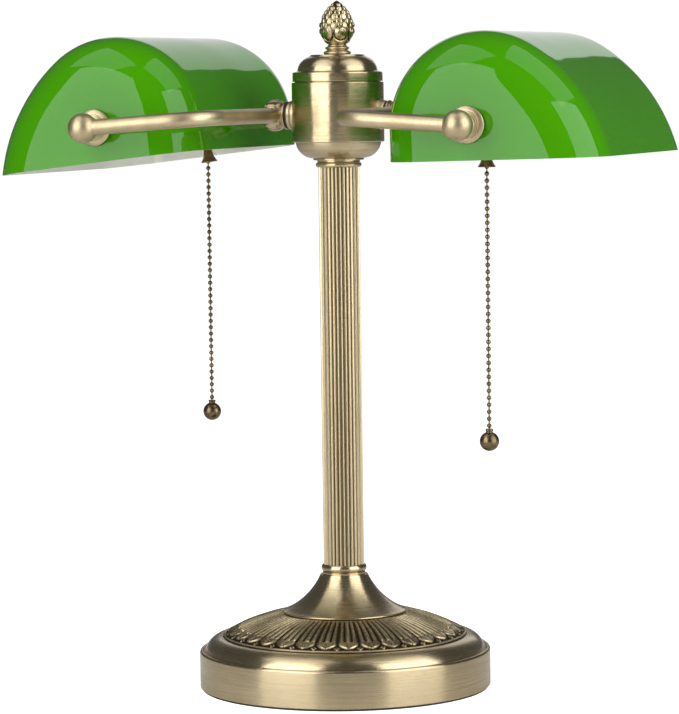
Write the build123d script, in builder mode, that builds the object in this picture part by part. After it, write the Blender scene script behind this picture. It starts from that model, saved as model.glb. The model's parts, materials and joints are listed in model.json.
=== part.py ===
"""Banker's desk lamp with two tilting glass shades on drooping U-shaped yokes.

Millimetres, +Z up.  The origin is on the table, on the column's axis.  +X points at the right-hand
shade and the shades run along Y.  The left-hand arm is the right-hand arm turned half a turn
about the column, so each arm is built in its own frame: x outward, y along its shade, z up.
"""
from build123d import *
import os
from math import asin, cos, radians, sin, sqrt, tan

os.makedirs("parts", exist_ok=True)

# ---- base
base_radius = 100.0
skirt_height = 27.0            # top edge of the plain skirt
sheet = 1.2                    # wall of the spun brass shells
pad_thickness = 1.5
shoulder_width = 16.5          # skirt edge to the leaf ring's rim
ring_rim_height = 37.3
ring_seat_height = 52.0        # where the cone stands on the leaf ring
ring_seat_width = 4.5
ring_thickness = 3.0           # of the leaf ring at its seat
cone_foot_radius = 42.5
cone_top_height = 78.0
cone_top_radius = 16.3
weight_thickness = 9.5
weight_boss_radius = 20.0
nut_recess_radius = 17.0
nut_recess_depth = 8.0

# ---- column
column_radius = 14.0
column_length = 272.0
column_wall = 2.2
flute_count = 30
flute_radius = 1.15
collar_radius = 15.6
lower_collar_height = 7.0
upper_collar_height = 4.9
spigot_length = 8.0
spigot_play = 0.1
pipe_radius = 4.9              # lamp pipe, the tie rod of the whole stand
pipe_bore_radius = 3.4
pipe_play = 0.5

# ---- hub
hub_radius = 31.35
hub_wall = 1.5
hub_height = 40.7
bowl_height = 12.2
bowl_lip_radius = 17.2
cap_inset = 0.65               # cap's band inside the hub body
cap_band_height = 6.6
cap_step = 3.5                 # dome inside the band
cap_height = 18.2
cap_top_radius = 18.3
seam = 0.4                     # shadow gap between hub body and cap
spool_height = 6.7
spool_radius = 9.3
finial_height = 30.0
finial_radius = 11.5

# ---- cord inlet at the back of the skirt
inlet_height = 11.0
inlet_bore_radius = 3.6
inlet_sleeve_radius = 5.0
inlet_flange_radius = 7.0

# ---- arm: stud, flower cup and yoke
stud_rise = 18.4               # stud axis above the hub body's lower edge
stud_radius = 4.6
stud_bore_radius = 2.8
collar_disc_radius = 9.75
collar_disc_width = 3.2
collar_width = 4.0             # ring and disc together, from the hub's surface
friction_washer_width = 1.2
stud_head_width = 1.2
stud_head_lip = 1.8
swivel_gap = 0.2
cup_radius = 10.5
cup_length = 12.5
cup_face = 1.3                 # wall between the friction washer and the stud's head
cup_web = 0.25                 # wall between the stud's head and the yoke
cup_play = 0.3
yoke_tube_radius = 5.2
yoke_tube_wall = 1.1
yoke_bend_radius = 28.0
yoke_reach = 130.3             # column axis to the shade's tilting axis
yoke_droop = 3.9               # degrees, legs fall outward

# ---- ball fittings at the yoke's ends
ball_radius = 10.0
ball_offset = 15.6             # ball centre to the flange's face
rib_radius = 7.8
flange_radius = 12.0
flange_thickness = 2.4
gasket_radius = 10.2
gasket_thickness = 1.5
tilt_gap = 0.25                # between what tilts and what stays
nipple_radius = 4.6
nipple_bore_radius = 2.9
nipple_play = 0.7              # in the shade's holes and gaskets

# ---- shade: constant section with rounded ends, open below
shade_length = 222.0
glass_wall = 3.0
shade_drop = 22.9              # tilting axis down to the rim
hub_side_width = 63.0          # tilting axis to the upright wall
hub_side_radius = 62.9
outer_radius = 122.0
crown_height = 60.3            # tilting axis to the crown
crown_blend = 56.0             # degrees above outward where the two arcs meet
end_rounding = 34.0

# ---- socket, bulb and pull chain
socket_length = 65.0
socket_radius = 16.5
socket_wall = 0.8
core_play = 0.3
bulb_screw_radius = 13.0
bulb_screw_length = 24.0
bulb_radius = 16.0
bulb_length = 118.0
chain_station = 33.5           # socket's closed end to the chain
bell_mouth_drop = 28.0
bell_mouth_radius = 5.8
bell_throat_radius = 2.4
bell_wall = 0.6
bead_pitch = 4.56
bead_radius = 1.6
link_radius = 0.5
eye_bead_count = 2
chain_bead_count = 39
eye_drop = 14.0                # socket axis to the eye's first bead
pull_radius = 6.4

# arm name, which way it points, shade's tilt (degrees, outer edge down), chain outlet's lean (degrees)
arms = [("left", -1, 6.5, 8.0), ("right", 1, -1.2, 0.0)]

# ---- heights and places that follow
ring_radius = base_radius - shoulder_width
ring_bore = cone_foot_radius - ring_seat_width
shell_top = ring_seat_height - ring_thickness
column_bottom = cone_top_height + lower_collar_height
column_top = column_bottom + column_length
column_bore = column_radius - column_wall
bowl_bottom = column_top + upper_collar_height
hub_bottom = bowl_bottom + bowl_height
hub_top = hub_bottom + hub_height
cap_bottom = hub_top + seam
cap_top = cap_bottom + cap_height
finial_bottom = cap_top + spool_height
pipe_hole = pipe_radius + pipe_play
weight_top = pad_thickness + weight_thickness
weight_radius = base_radius - sheet - 1.0
recess_top = pad_thickness + nut_recess_depth
cap_radius = hub_radius - cap_inset
cap_dome_radius = cap_radius - cap_step
stud_height = hub_bottom + stud_rise
washer_start = hub_radius + collar_width
cup_start = washer_start + friction_washer_width + swivel_gap
stud_head_start = cup_start + cup_face
yoke_setback = stud_head_start + stud_head_width + cup_play + cup_web + yoke_tube_radius
nipple_hole_radius = nipple_radius + nipple_play
pivot_height = stud_height - (yoke_reach - yoke_setback) * tan(radians(yoke_droop))
shade_half = shade_length / 2
inner_face = shade_half - glass_wall
flange_back = shade_half + gasket_thickness + tilt_gap
flange_front = flange_back + flange_thickness
ball_y = flange_front + ball_offset
socket_end = inner_face - gasket_thickness - tilt_gap
socket_mouth = socket_end - socket_length
chain_y = socket_end - chain_station
swing_drop = eye_drop + (eye_bead_count - 0.5) * bead_pitch


def save(shape, label):
    """Name a finished piece and write it."""
    shape.label = label
    export_step(shape, f"parts/{label}.step")


def turned(outline, plane=Plane.XZ):
    """Body of revolution about the plane's y direction, from (radius, height) corners."""
    with BuildPart() as body:
        with BuildSketch(plane):
            with BuildLine():
                Polyline(*outline, close=True)
            make_face()
        revolve(axis=Axis(plane.origin, plane.y_dir))
    return body.part


def ring(inner, outer, low, high, plane=Plane.XZ):
    """Plain washer or tube between two heights."""
    return turned([(inner, low), (outer, low), (outer, high), (inner, high)], plane)


# ================================================================== stand: base
with BuildPart() as base_pad:
    with BuildSketch():
        Circle(base_radius - 1.2)
    extrude(amount=pad_thickness)
    chamfer(base_pad.edges().group_by(Axis.Z)[0], 0.4)
save(base_pad.part, "base_pad")

# cast ballast disc with a boss up to the shell, a recess for the nut and a channel for the cord
channel_start = nut_recess_radius - 1
channel_length = weight_radius + 1 - channel_start
with BuildPart() as base_weight:
    with BuildSketch(Plane.XY.offset(pad_thickness)):
        Circle(weight_radius)
    extrude(amount=weight_thickness)
    with BuildSketch(Plane.XY.offset(pad_thickness)):
        Circle(weight_boss_radius)
    extrude(amount=shell_top - sheet - pad_thickness)
    with BuildSketch(Plane.XY.offset(pad_thickness)):
        Circle(nut_recess_radius)
        with Locations((0, channel_start + channel_length / 2)):
            Rectangle(2 * inlet_sleeve_radius + 2, channel_length)
    extrude(amount=nut_recess_depth, mode=Mode.SUBTRACT)
    with BuildSketch(Plane.XY.offset(recess_top)):
        with Locations((0, weight_boss_radius + channel_length / 2)):
            Rectangle(2 * inlet_sleeve_radius + 2, channel_length)
    extrude(amount=weight_thickness, mode=Mode.SUBTRACT)
    with BuildSketch(Plane.XY.offset(pad_thickness)):
        Circle(pipe_hole)
    extrude(amount=shell_top, mode=Mode.SUBTRACT)
save(base_weight.part, "base_weight")


def base_solid(inset, floor):
    """Solid under the spun base's surface, inset below it, down to a floor height."""
    foot = base_radius - inset
    rim = ring_radius - inset
    skirt = skirt_height - inset
    shoulder = foot - 3.6
    rim_height = ring_rim_height - 0.6 - inset
    with BuildPart() as solid:
        with BuildSketch(Plane.XZ):
            with BuildLine():
                Polyline((0, floor), (foot, floor), (foot, skirt - 1.2), (foot - 1.0, skirt),
                         (foot - 2.6, skirt), (foot - 2.8, skirt - 0.8), (shoulder, skirt - 0.8))
                ThreePointArc((shoulder, skirt - 0.8), (rim + 8.4, rim_height - 2.6), (rim, rim_height))
                Polyline((rim, rim_height), (weight_boss_radius + 8, shell_top - inset),
                         (0, shell_top - inset), (0, floor))
            make_face()
        revolve(axis=Axis.Z)
    return solid.part


shell_inside = base_solid(sheet, 0)
shell_outside = base_solid(0, pad_thickness)
inlet_plane = Plane(origin=(0, base_radius, inlet_height), x_dir=(1, 0, 0), z_dir=(0, 1, 0))
with BuildPart() as base_shell:
    add(shell_outside)
    add(shell_inside, mode=Mode.SUBTRACT)
    with BuildSketch(Plane.XY.offset(shell_top - 2 * sheet)):
        Circle(pipe_hole)
    extrude(amount=3 * sheet, mode=Mode.SUBTRACT)
    with BuildSketch(inlet_plane.offset(-3 * sheet)):
        Circle(inlet_sleeve_radius)
    extrude(amount=5 * sheet, mode=Mode.SUBTRACT)
save(base_shell.part, "base_shell")

# bushing that lines the cord's way in: sleeve through the skirt, rounded flange outside
with BuildPart() as cord_bushing:
    with BuildSketch(inlet_plane):
        Circle(inlet_flange_radius)
    extrude(amount=2.2)
    fillet(cord_bushing.edges().group_by(Axis.Y)[-1], 1.0)
    with BuildSketch(inlet_plane.offset(-5.0)):
        Circle(inlet_sleeve_radius)
    extrude(amount=5.0)
    with BuildSketch(inlet_plane.offset(-5.0)):
        Circle(inlet_bore_radius)
    extrude(amount=8.0, mode=Mode.SUBTRACT)
save(cord_bushing.part, "cord_bushing")

# cast leaf ring: a domed top over the shell's conical top, with a flat seat for the cone
ring_middle = (ring_radius + cone_foot_radius) / 2
ring_dome = (ring_rim_height + ring_seat_height) / 2 + 1.9
with BuildPart() as leaf_ring:
    with BuildSketch(Plane.XZ):
        with BuildLine():
            Polyline((cone_foot_radius, ring_seat_height), (ring_bore, ring_seat_height),
                     (ring_bore, ring_rim_height), (ring_radius + 0.4, ring_rim_height - 1.2),
                     (ring_radius + 0.4, ring_rim_height))
            ThreePointArc((ring_radius + 0.4, ring_rim_height), (ring_middle, ring_dome),
                          (cone_foot_radius, ring_seat_height))
        make_face()
    revolve(axis=Axis.Z)
    add(shell_outside, mode=Mode.SUBTRACT)
save(leaf_ring.part, "leaf_ring")


def cone_solid(inset):
    """Solid under the flared cone's surface, inset below it."""
    low = ring_seat_height
    top = cone_top_height - inset
    with BuildPart() as solid:
        with BuildSketch(Plane.XZ):
            with BuildLine():
                Polyline((0, top), (0, low), (cone_foot_radius - inset, low),
                         (cone_foot_radius - inset, low + 1.0))
                ThreePointArc((cone_foot_radius - inset, low + 1.0),
                              (cone_top_radius + 8.6 - inset, (low + top) / 2),
                              (cone_top_radius - inset, top))
                Line((cone_top_radius - inset, top), (0, top))
            make_face()
        revolve(axis=Axis.Z)
    return solid.part


with BuildPart() as base_cone:
    add(cone_solid(0))
    add(cone_solid(sheet), mode=Mode.SUBTRACT)
    with BuildSketch(Plane.XY.offset(cone_top_height - 2 * sheet)):
        Circle(pipe_hole)
    extrude(amount=3 * sheet, mode=Mode.SUBTRACT)
save(base_cone.part, "base_cone")

# ================================================================== stand: column
spigot_radius = column_bore - spigot_play


def collar(label, low, high, spigot_sign):
    """Rounded collar with a spigot that centres the column's end."""
    end = high if spigot_sign > 0 else low
    with BuildPart() as body:
        with BuildSketch(Plane.XY.offset(low)):
            Circle(collar_radius)
        extrude(amount=high - low)
        fillet(body.edges(), 1.6)
        with BuildSketch(Plane.XY.offset(end)):
            Circle(spigot_radius)
        extrude(amount=spigot_sign * spigot_length)
        with BuildSketch(Plane.XY.offset(low - spigot_length)):
            Circle(pipe_hole)
        extrude(amount=high - low + 2 * spigot_length, mode=Mode.SUBTRACT)
    save(body.part, label)


collar("lower_collar", cone_top_height, column_bottom, 1)
collar("upper_collar", column_top, bowl_bottom, -1)

with BuildPart() as column_tube:
    with BuildSketch(Plane.XY.offset(column_bottom)):
        Circle(column_radius)
        Circle(column_bore, mode=Mode.SUBTRACT)
        with PolarLocations(column_radius + 0.35, flute_count):
            Circle(flute_radius, mode=Mode.SUBTRACT)
    extrude(amount=column_length)
save(column_tube.part, "column_tube")

nut_thickness = 5.0
washer_thickness = 1.5
nut_top = recess_top - washer_thickness
with BuildPart() as base_nut:
    with BuildSketch(Plane.XY.offset(nut_top - nut_thickness)):
        RegularPolygon(8.0, 6, major_radius=False)
        Circle(pipe_radius, mode=Mode.SUBTRACT)
    extrude(amount=nut_thickness)
save(base_nut.part, "base_nut")
save(ring(pipe_hole, nut_recess_radius - 3, nut_top, recess_top), "base_washer")

# the pipe runs from the nut to the finial; a slot inside the hub lets the leads out
pipe_bottom = pad_thickness + 0.5
pipe_top = finial_bottom + 9.0
slot_height = 22.0
with BuildPart() as lamp_pipe:
    with BuildSketch(Plane.XY.offset(pipe_bottom)):
        Circle(pipe_radius)
        Circle(pipe_bore_radius, mode=Mode.SUBTRACT)
    extrude(amount=pipe_top - pipe_bottom)
    with BuildSketch(Plane.XZ.offset(-2 * pipe_radius)):
        with Locations((0, stud_height)):
            SlotOverall(slot_height, 4.0, rotation=90)
    extrude(amount=2 * pipe_radius, mode=Mode.SUBTRACT)
save(lamp_pipe.part, "lamp_pipe")

lead_radius = 1.1
with BuildPart() as column_leads:
    with BuildSketch(Plane.XY.offset(pipe_bottom)):
        with Locations((lead_radius + 0.2, 0), (-lead_radius - 0.2, 0)):
            Circle(lead_radius)
    extrude(amount=stud_height - pipe_bottom)
save(column_leads.part, "column_leads")


# ================================================================== stand: hub
def bowl_solid(inset):
    """Solid inside the hub's lower bowl surface."""
    lip_top = bowl_bottom + 1.2 + inset
    rim = hub_radius - 2.2 - inset
    with BuildPart() as solid:
        with BuildSketch(Plane.XZ):
            with BuildLine():
                Line((0, lip_top), (bowl_lip_radius - 0.4 - inset, lip_top))
                ThreePointArc((bowl_lip_radius - 0.4 - inset, lip_top),
                              (rim - 3.4, bowl_bottom + 0.42 * bowl_height + inset), (rim, hub_bottom))
                Polyline((rim, hub_bottom), (0, hub_bottom), (0, lip_top))
            make_face()
        revolve(axis=Axis.Z)
    return solid.part


with BuildPart() as hub_bowl:
    add(bowl_solid(0))
    add(bowl_solid(sheet), mode=Mode.SUBTRACT)
    with BuildSketch(Plane.XY.offset(bowl_bottom)):
        Circle(bowl_lip_radius)
    extrude(amount=1.2)
    with BuildSketch(Plane.XY.offset(bowl_bottom)):
        Circle(pipe_hole)
    extrude(amount=4 * sheet, mode=Mode.SUBTRACT)
save(hub_bowl.part, "hub_bowl")

stud_hole = stud_radius + 0.1
with BuildPart() as hub_body:
    with BuildSketch(Plane.XY.offset(hub_bottom)):
        Circle(hub_radius)
    extrude(amount=hub_height)
    fillet(hub_body.edges(), 1.2)
    with BuildSketch(Plane.XY.offset(hub_bottom + hub_wall)):
        Circle(hub_radius - hub_wall)
    extrude(amount=hub_height, mode=Mode.SUBTRACT)
    with BuildSketch(Plane.XY.offset(hub_bottom)):
        Circle(hub_radius - 3 * hub_wall)
    extrude(amount=hub_wall, mode=Mode.SUBTRACT)
    with BuildSketch(Plane.YZ.offset(-2 * hub_radius)):
        with Locations((0, stud_height)):
            Circle(stud_hole)
    extrude(amount=4 * hub_radius, mode=Mode.SUBTRACT)
save(hub_body.part, "hub_body")


def cap_solid(inset):
    """Solid under the domed cap's surface: band, step, dome, small flat top."""
    step = cap_bottom + cap_band_height
    top = cap_top - inset
    band = cap_radius - inset
    dome = cap_dome_radius - inset
    with BuildPart() as solid:
        with BuildSketch(Plane.XZ):
            with BuildLine():
                Polyline((0, cap_bottom), (band, cap_bottom), (band, step - 0.8 - inset),
                         (band - 0.8, step - inset), (dome, step + 0.6 - inset),
                         (dome, step + 1.8 - inset))
                ThreePointArc((dome, step + 1.8 - inset), (dome - 1.9, step + 6.2 - inset),
                              (cap_top_radius + 1.2 - inset, top - 1.2))
                Polyline((cap_top_radius + 1.2 - inset, top - 1.2),
                         (cap_top_radius - inset, top), (0, top), (0, cap_bottom))
            make_face()
        revolve(axis=Axis.Z)
    return solid.part


with BuildPart() as hub_cap:
    add(cap_solid(0))
    add(cap_solid(sheet), mode=Mode.SUBTRACT)
    # spigot that drops into the hub body
    with BuildSketch(Plane.XY.offset(hub_top - 4.0)):
        Circle(hub_radius - hub_wall - spigot_play)
        Circle(hub_radius - 2 * hub_wall - spigot_play, mode=Mode.SUBTRACT)
    extrude(amount=4.0 + seam + 2.0)
    with BuildSketch(Plane.XY.offset(cap_top - 2 * sheet)):
        Circle(pipe_hole)
    extrude(amount=3 * sheet, mode=Mode.SUBTRACT)
save(hub_cap.part, "hub_cap")

spool = turned([
    (pipe_hole, cap_top), (spool_radius - 0.4, cap_top), (spool_radius, cap_top + 0.7),
    (spool_radius, cap_top + 1.8), (spool_radius - 0.8, cap_top + 2.4),
    (spool_radius - 2.4, cap_top + 2.9), (spool_radius - 2.4, cap_top + 3.3),
    (spool_radius - 1.5, cap_top + 3.7), (spool_radius - 1.5, cap_top + 5.1),
    (pipe_hole + 1.4, cap_top + 5.8), (pipe_hole + 0.8, finial_bottom),
    (pipe_hole, finial_bottom)])
save(spool, "finial_spool")

with BuildPart() as finial:
    with BuildSketch(Plane.XZ):
        with BuildLine():
            Line((0, finial_bottom), (pipe_hole + 0.5, finial_bottom))
            Spline((pipe_hole + 0.5, finial_bottom), (finial_radius - 1.7, finial_bottom + 6.2),
                   (finial_radius, finial_bottom + 12.5), (finial_radius - 2.0, finial_bottom + 20.0),
                   (5.2, finial_bottom + 26.6), (0, finial_bottom + finial_height),
                   tangents=((0.6, 0.8), (-1, 0)))
            Line((0, finial_bottom + finial_height), (0, finial_bottom))
        make_face()
    revolve(axis=Axis.Z)
    with BuildSketch(Plane.XY.offset(finial_bottom)):
        Circle(pipe_radius)
    extrude(amount=10.0, mode=Mode.SUBTRACT)
save(finial.part, "finial")


# ================================================================== arms
def stud_plane(sign, distance=0.0):
    """Frame of turned pieces on the stud: x is a radius, y runs outward from the column's axis."""
    return Plane(origin=(sign * distance, 0, stud_height), x_dir=(0, 0, 1), z_dir=(0, sign, 0))


def pivot_plane(sign, end):
    """Frame of turned pieces on the tilting axis: x is a radius, y runs from the shade's middle to an end."""
    return Plane(origin=(sign * yoke_reach, 0, pivot_height), x_dir=(0, 0, 1), z_dir=(-sign * end, 0, 0))


def chain_plane(sign, lean):
    """Frame of turned pieces at the chain outlet: x is a radius, y runs down, leaning to the hub."""
    down = (-sign * sin(radians(lean)), 0, -cos(radians(lean)))
    return Plane(origin=(sign * yoke_reach, -sign * chain_y, pivot_height), x_dir=(0, 1, 0),
                 z_dir=(down[2], 0, -down[0]))


def build_stud(name, sign):
    """Hollow pivot stud with its nut, collar and friction washer, all fixed to the hub."""
    plane = stud_plane(sign)
    nut_seat = hub_radius - hub_wall - 1.3
    nut_width = 4.0
    stud_start = nut_seat - nut_width - 1
    head_radius = stud_radius + stud_head_lip
    head_end = stud_head_start + stud_head_width
    stud = turned([(stud_bore_radius, stud_start), (stud_radius, stud_start),
                   (stud_radius, stud_head_start), (head_radius, stud_head_start),
                   (head_radius, head_end), (stud_bore_radius, head_end)], plane)
    save(stud, f"{name}_stud")
    with BuildPart() as nut:
        with BuildSketch(Plane(origin=(sign * (nut_seat - nut_width), 0, stud_height), z_dir=(sign, 0, 0))):
            RegularPolygon(7.0, 6, major_radius=False)
            Circle(stud_radius, mode=Mode.SUBTRACT)
        extrude(amount=nut_width)
    save(nut.part, f"{name}_stud_nut")
    disc_start = washer_start - collar_disc_width
    with BuildPart() as collar_disc:
        add(turned([(stud_radius, hub_radius - 4), (collar_disc_radius + 0.6, hub_radius - 4),
                    (collar_disc_radius + 0.6, disc_start), (collar_disc_radius - 0.5, disc_start),
                    (collar_disc_radius, disc_start + 0.6), (collar_disc_radius, washer_start - 0.6),
                    (collar_disc_radius - 0.6, washer_start), (stud_radius, washer_start)], plane))
        with BuildSketch(Plane.XY.offset(stud_height - 2 * collar_disc_radius)):
            Circle(hub_radius)
        extrude(amount=4 * collar_disc_radius, mode=Mode.SUBTRACT)
    save(collar_disc.part, f"{name}_stud_collar")
    save(ring(stud_radius, collar_disc_radius - 0.9, washer_start, washer_start + friction_washer_width,
              plane), f"{name}_friction_washer")


def build_cup(name, sign):
    """Cast flower cup: a ring on the friction washer, eight petals, and a way through for the yoke."""
    plane = stud_plane(sign)
    petals = cup_start + 3.0
    tip = petals + cup_length
    room_start = stud_head_start - cup_play
    room_end = stud_head_start + stud_head_width + cup_play
    with BuildPart() as cup:
        with BuildSketch(plane):
            with BuildLine():
                Polyline((0, tip), (0, cup_start), (collar_disc_radius, cup_start),
                         (collar_disc_radius, cup_start + 1.2), (cup_radius - 2.6, cup_start + 1.7),
                         (cup_radius - 2.6, petals - 0.6), (cup_radius - 0.9, petals + 0.8))
                ThreePointArc((cup_radius - 0.9, petals + 0.8), (cup_radius, petals + 5.0),
                              (cup_radius - 3.2, tip))
                Line((cup_radius - 3.2, tip), (0, tip))
            make_face()
        revolve(axis=Axis(plane.origin, plane.y_dir))
        # notches between the petals
        with BuildSketch(Plane(origin=(sign * petals, 0, stud_height), x_dir=(0, 1, 0), z_dir=(sign, 0, 0))):
            with PolarLocations(cup_radius + 0.5, 8, start_angle=22.5):
                Circle(1.5)
        extrude(amount=cup_length, mode=Mode.SUBTRACT)
        with BuildSketch(Plane.XZ.offset(-2 * cup_radius)):
            with Locations((sign * yoke_setback, stud_height)):
                Circle(yoke_tube_radius)
        extrude(amount=4 * cup_radius, mode=Mode.SUBTRACT)
        # bearing, room for the stud's head, and a passage for the leads
        add(ring(0, stud_radius + 0.05, cup_start - 1, room_start, plane), mode=Mode.SUBTRACT)
        add(ring(0, stud_radius + stud_head_lip + cup_play, room_start, room_end, plane), mode=Mode.SUBTRACT)
        add(ring(0, stud_bore_radius, room_end, yoke_setback, plane), mode=Mode.SUBTRACT)
    save(cup.part, f"{name}_flower_cup")


def build_yoke(name, sign):
    """U-shaped tube: the back run lies through the cup, the legs fall outward to the balls."""
    droop = radians(yoke_droop)
    leg = Vector(sign * cos(droop), 0, -sin(droop))
    plane = Plane(origin=(sign * yoke_setback, 0, stud_height), x_dir=leg,
                  z_dir=(sign * sin(droop), 0, cos(droop)))
    leg_end = (yoke_reach - yoke_setback) / cos(droop) - ball_radius / 2
    with BuildPart() as yoke:
        with BuildLine(plane) as route:
            FilletPolyline((leg_end, -ball_y), (0, -ball_y), (0, ball_y), (leg_end, ball_y),
                           radius=yoke_bend_radius)
        with BuildSketch(Plane(origin=route.line @ 0, z_dir=route.line % 0)):
            Circle(yoke_tube_radius)
            Circle(yoke_tube_radius - yoke_tube_wall, mode=Mode.SUBTRACT)
        sweep()
        # hole in the back run where the leads come in from the stud
        add(ring(0, stud_bore_radius, yoke_setback - yoke_tube_radius - 1, yoke_setback,
                 stud_plane(sign)), mode=Mode.SUBTRACT)
    save(yoke.part, f"{name}_yoke")
    return leg


def build_ball_fittings(name, sign, leg):
    """Ball with a ribbed neck at each end of the yoke, pocketed for the leg and bored for the nipple."""
    neck_radius = nipple_radius + 1.2
    with BuildPart() as fittings:
        for end in (-1, 1):
            plane = pivot_plane(sign, end)
            ball_foot = ball_y - sqrt(ball_radius**2 - neck_radius**2)
            outline = [(0, flange_front), (rib_radius + 1.2, flange_front), (rib_radius + 1.2, flange_front + 1.0)]
            for step, rib in ((1.9, rib_radius + 0.6), (3.8, rib_radius - 0.2)):
                outline += [(neck_radius + 0.9, flange_front + step - 0.7),
                            (neck_radius + 0.9, flange_front + step), (rib, flange_front + step + 0.3),
                            (rib, flange_front + step + 0.9)]
            outline += [(neck_radius, flange_front + 5.4), (neck_radius, ball_foot)]
            with BuildSketch(plane):
                with BuildLine():
                    Polyline(*outline)
                    ThreePointArc((neck_radius, ball_foot), (ball_radius, ball_y), (0, ball_y + ball_radius))
                    Line((0, ball_y + ball_radius), (0, flange_front))
                make_face()
            revolve(axis=Axis(plane.origin, plane.y_dir))
            add(ring(0, nipple_radius, flange_front - 1, ball_y - 4, plane), mode=Mode.SUBTRACT)
            centre = Vector(sign * yoke_reach, sign * end * ball_y, pivot_height)
            with BuildSketch(Plane(origin=centre, z_dir=leg * -1)):
                Circle(yoke_tube_radius)
            extrude(amount=2 * ball_radius, mode=Mode.SUBTRACT)
    save(fittings.part, f"{name}_ball_fittings")


def build_shade_hardware(name, sign):
    """Flanges, nipples and the plain end's nut, which stay with the yoke, and the shade's gaskets."""
    socket_side = pivot_plane(sign, -1)
    plain_side = pivot_plane(sign, 1)
    with BuildPart() as flanges:
        for plane in (socket_side, plain_side):
            add(turned([(nipple_radius, flange_back), (flange_radius - 0.3, flange_back),
                        (flange_radius, flange_back + 0.4), (flange_radius, flange_back + 1.2),
                        (flange_radius - 1.6, flange_front), (nipple_radius, flange_front)], plane))
    save(flanges.part, f"{name}_flanges")
    nut_length = 5.0
    with BuildPart() as nipples:
        add(ring(nipple_bore_radius, nipple_radius, socket_end - 8, ball_y - 5, socket_side))
        add(ring(nipple_bore_radius, nipple_radius, socket_end - nut_length - 1, ball_y - 5, plain_side))
    save(nipples.part, f"{name}_nipples")
    with BuildPart() as nut:
        with BuildSketch(Plane(origin=(sign * yoke_reach, sign * (socket_end - nut_length), pivot_height),
                               z_dir=(0, sign, 0))):
            RegularPolygon(7.5, 6, major_radius=False)
            Circle(nipple_radius, mode=Mode.SUBTRACT)
        extrude(amount=nut_length)
    save(nut.part, f"{name}_shade_nut")
    with BuildPart() as gaskets:
        for plane in (socket_side, plain_side):
            add(ring(nipple_hole_radius, gasket_radius, shade_half, shade_half + gasket_thickness, plane))
            add(ring(nipple_hole_radius, gasket_radius, inner_face - gasket_thickness, inner_face, plane))
    save(gaskets.part, f"{name}_shade_gaskets")


def shade_solid(sign, tilt, inset):
    """Solid inside the shade's surface, inset from it, cut off at the rim."""
    turn = radians(tilt)
    outward = (sign * cos(turn), 0, -sin(turn))
    up = (sign * sin(turn), 0, cos(turn))
    centre = (sign * yoke_reach, 0, pivot_height)
    section = Plane(origin=centre, x_dir=outward, z_dir=(0, -sign, 0))
    floor = -shade_drop - 1.6 * end_rounding
    blend = radians(crown_blend)
    hub_arc = hub_side_radius - inset
    outer_arc = outer_radius - inset
    hub_x = hub_side_radius - hub_side_width
    hub_z = crown_height - hub_side_radius
    outer_x = hub_x - (outer_radius - hub_side_radius) * cos(blend)
    outer_z = hub_z - (outer_radius - hub_side_radius) * sin(blend)
    foot = asin((floor - outer_z) / outer_arc)

    def on_hub_arc(angle):
        return hub_x + hub_arc * cos(angle), hub_z + hub_arc * sin(angle)

    def on_outer_arc(angle):
        return outer_x + outer_arc * cos(angle), outer_z + outer_arc * sin(angle)

    with BuildPart() as solid:
        with BuildSketch(section):
            with BuildLine():
                Line((hub_x - hub_arc, floor), (hub_x - hub_arc, hub_z))
                ThreePointArc((hub_x - hub_arc, hub_z), on_hub_arc(radians(117)), on_hub_arc(blend))
                ThreePointArc(on_hub_arc(blend), on_outer_arc((blend + foot) / 2), on_outer_arc(foot))
                Line(on_outer_arc(foot), (hub_x - hub_arc, floor))
            make_face()
        extrude(amount=shade_half - inset, both=True)
        fillet(solid.faces().filter_by(Axis.Y).edges(), end_rounding - inset)
        rim = Vector(*centre) - Vector(*up) * (shade_drop + (0.5 if inset else 0))
        split(bisect_by=Plane(origin=rim, x_dir=outward, z_dir=up), keep=Keep.TOP)
    return solid.part


def build_shade(name, sign, tilt):
    """Glass shade: outer body less inner body, with a nipple hole in each end."""
    inside = shade_solid(sign, tilt, glass_wall)
    with BuildPart() as shade:
        add(shade_solid(sign, tilt, 0))
        add(inside, mode=Mode.SUBTRACT)
        with BuildSketch(Plane.XZ.offset(-2 * shade_half)):
            with Locations((sign * yoke_reach, pivot_height)):
                Circle(nipple_hole_radius)
        extrude(amount=4 * shade_half, mode=Mode.SUBTRACT)
    save(shade.part, f"{name}_glass_shade")


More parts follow.
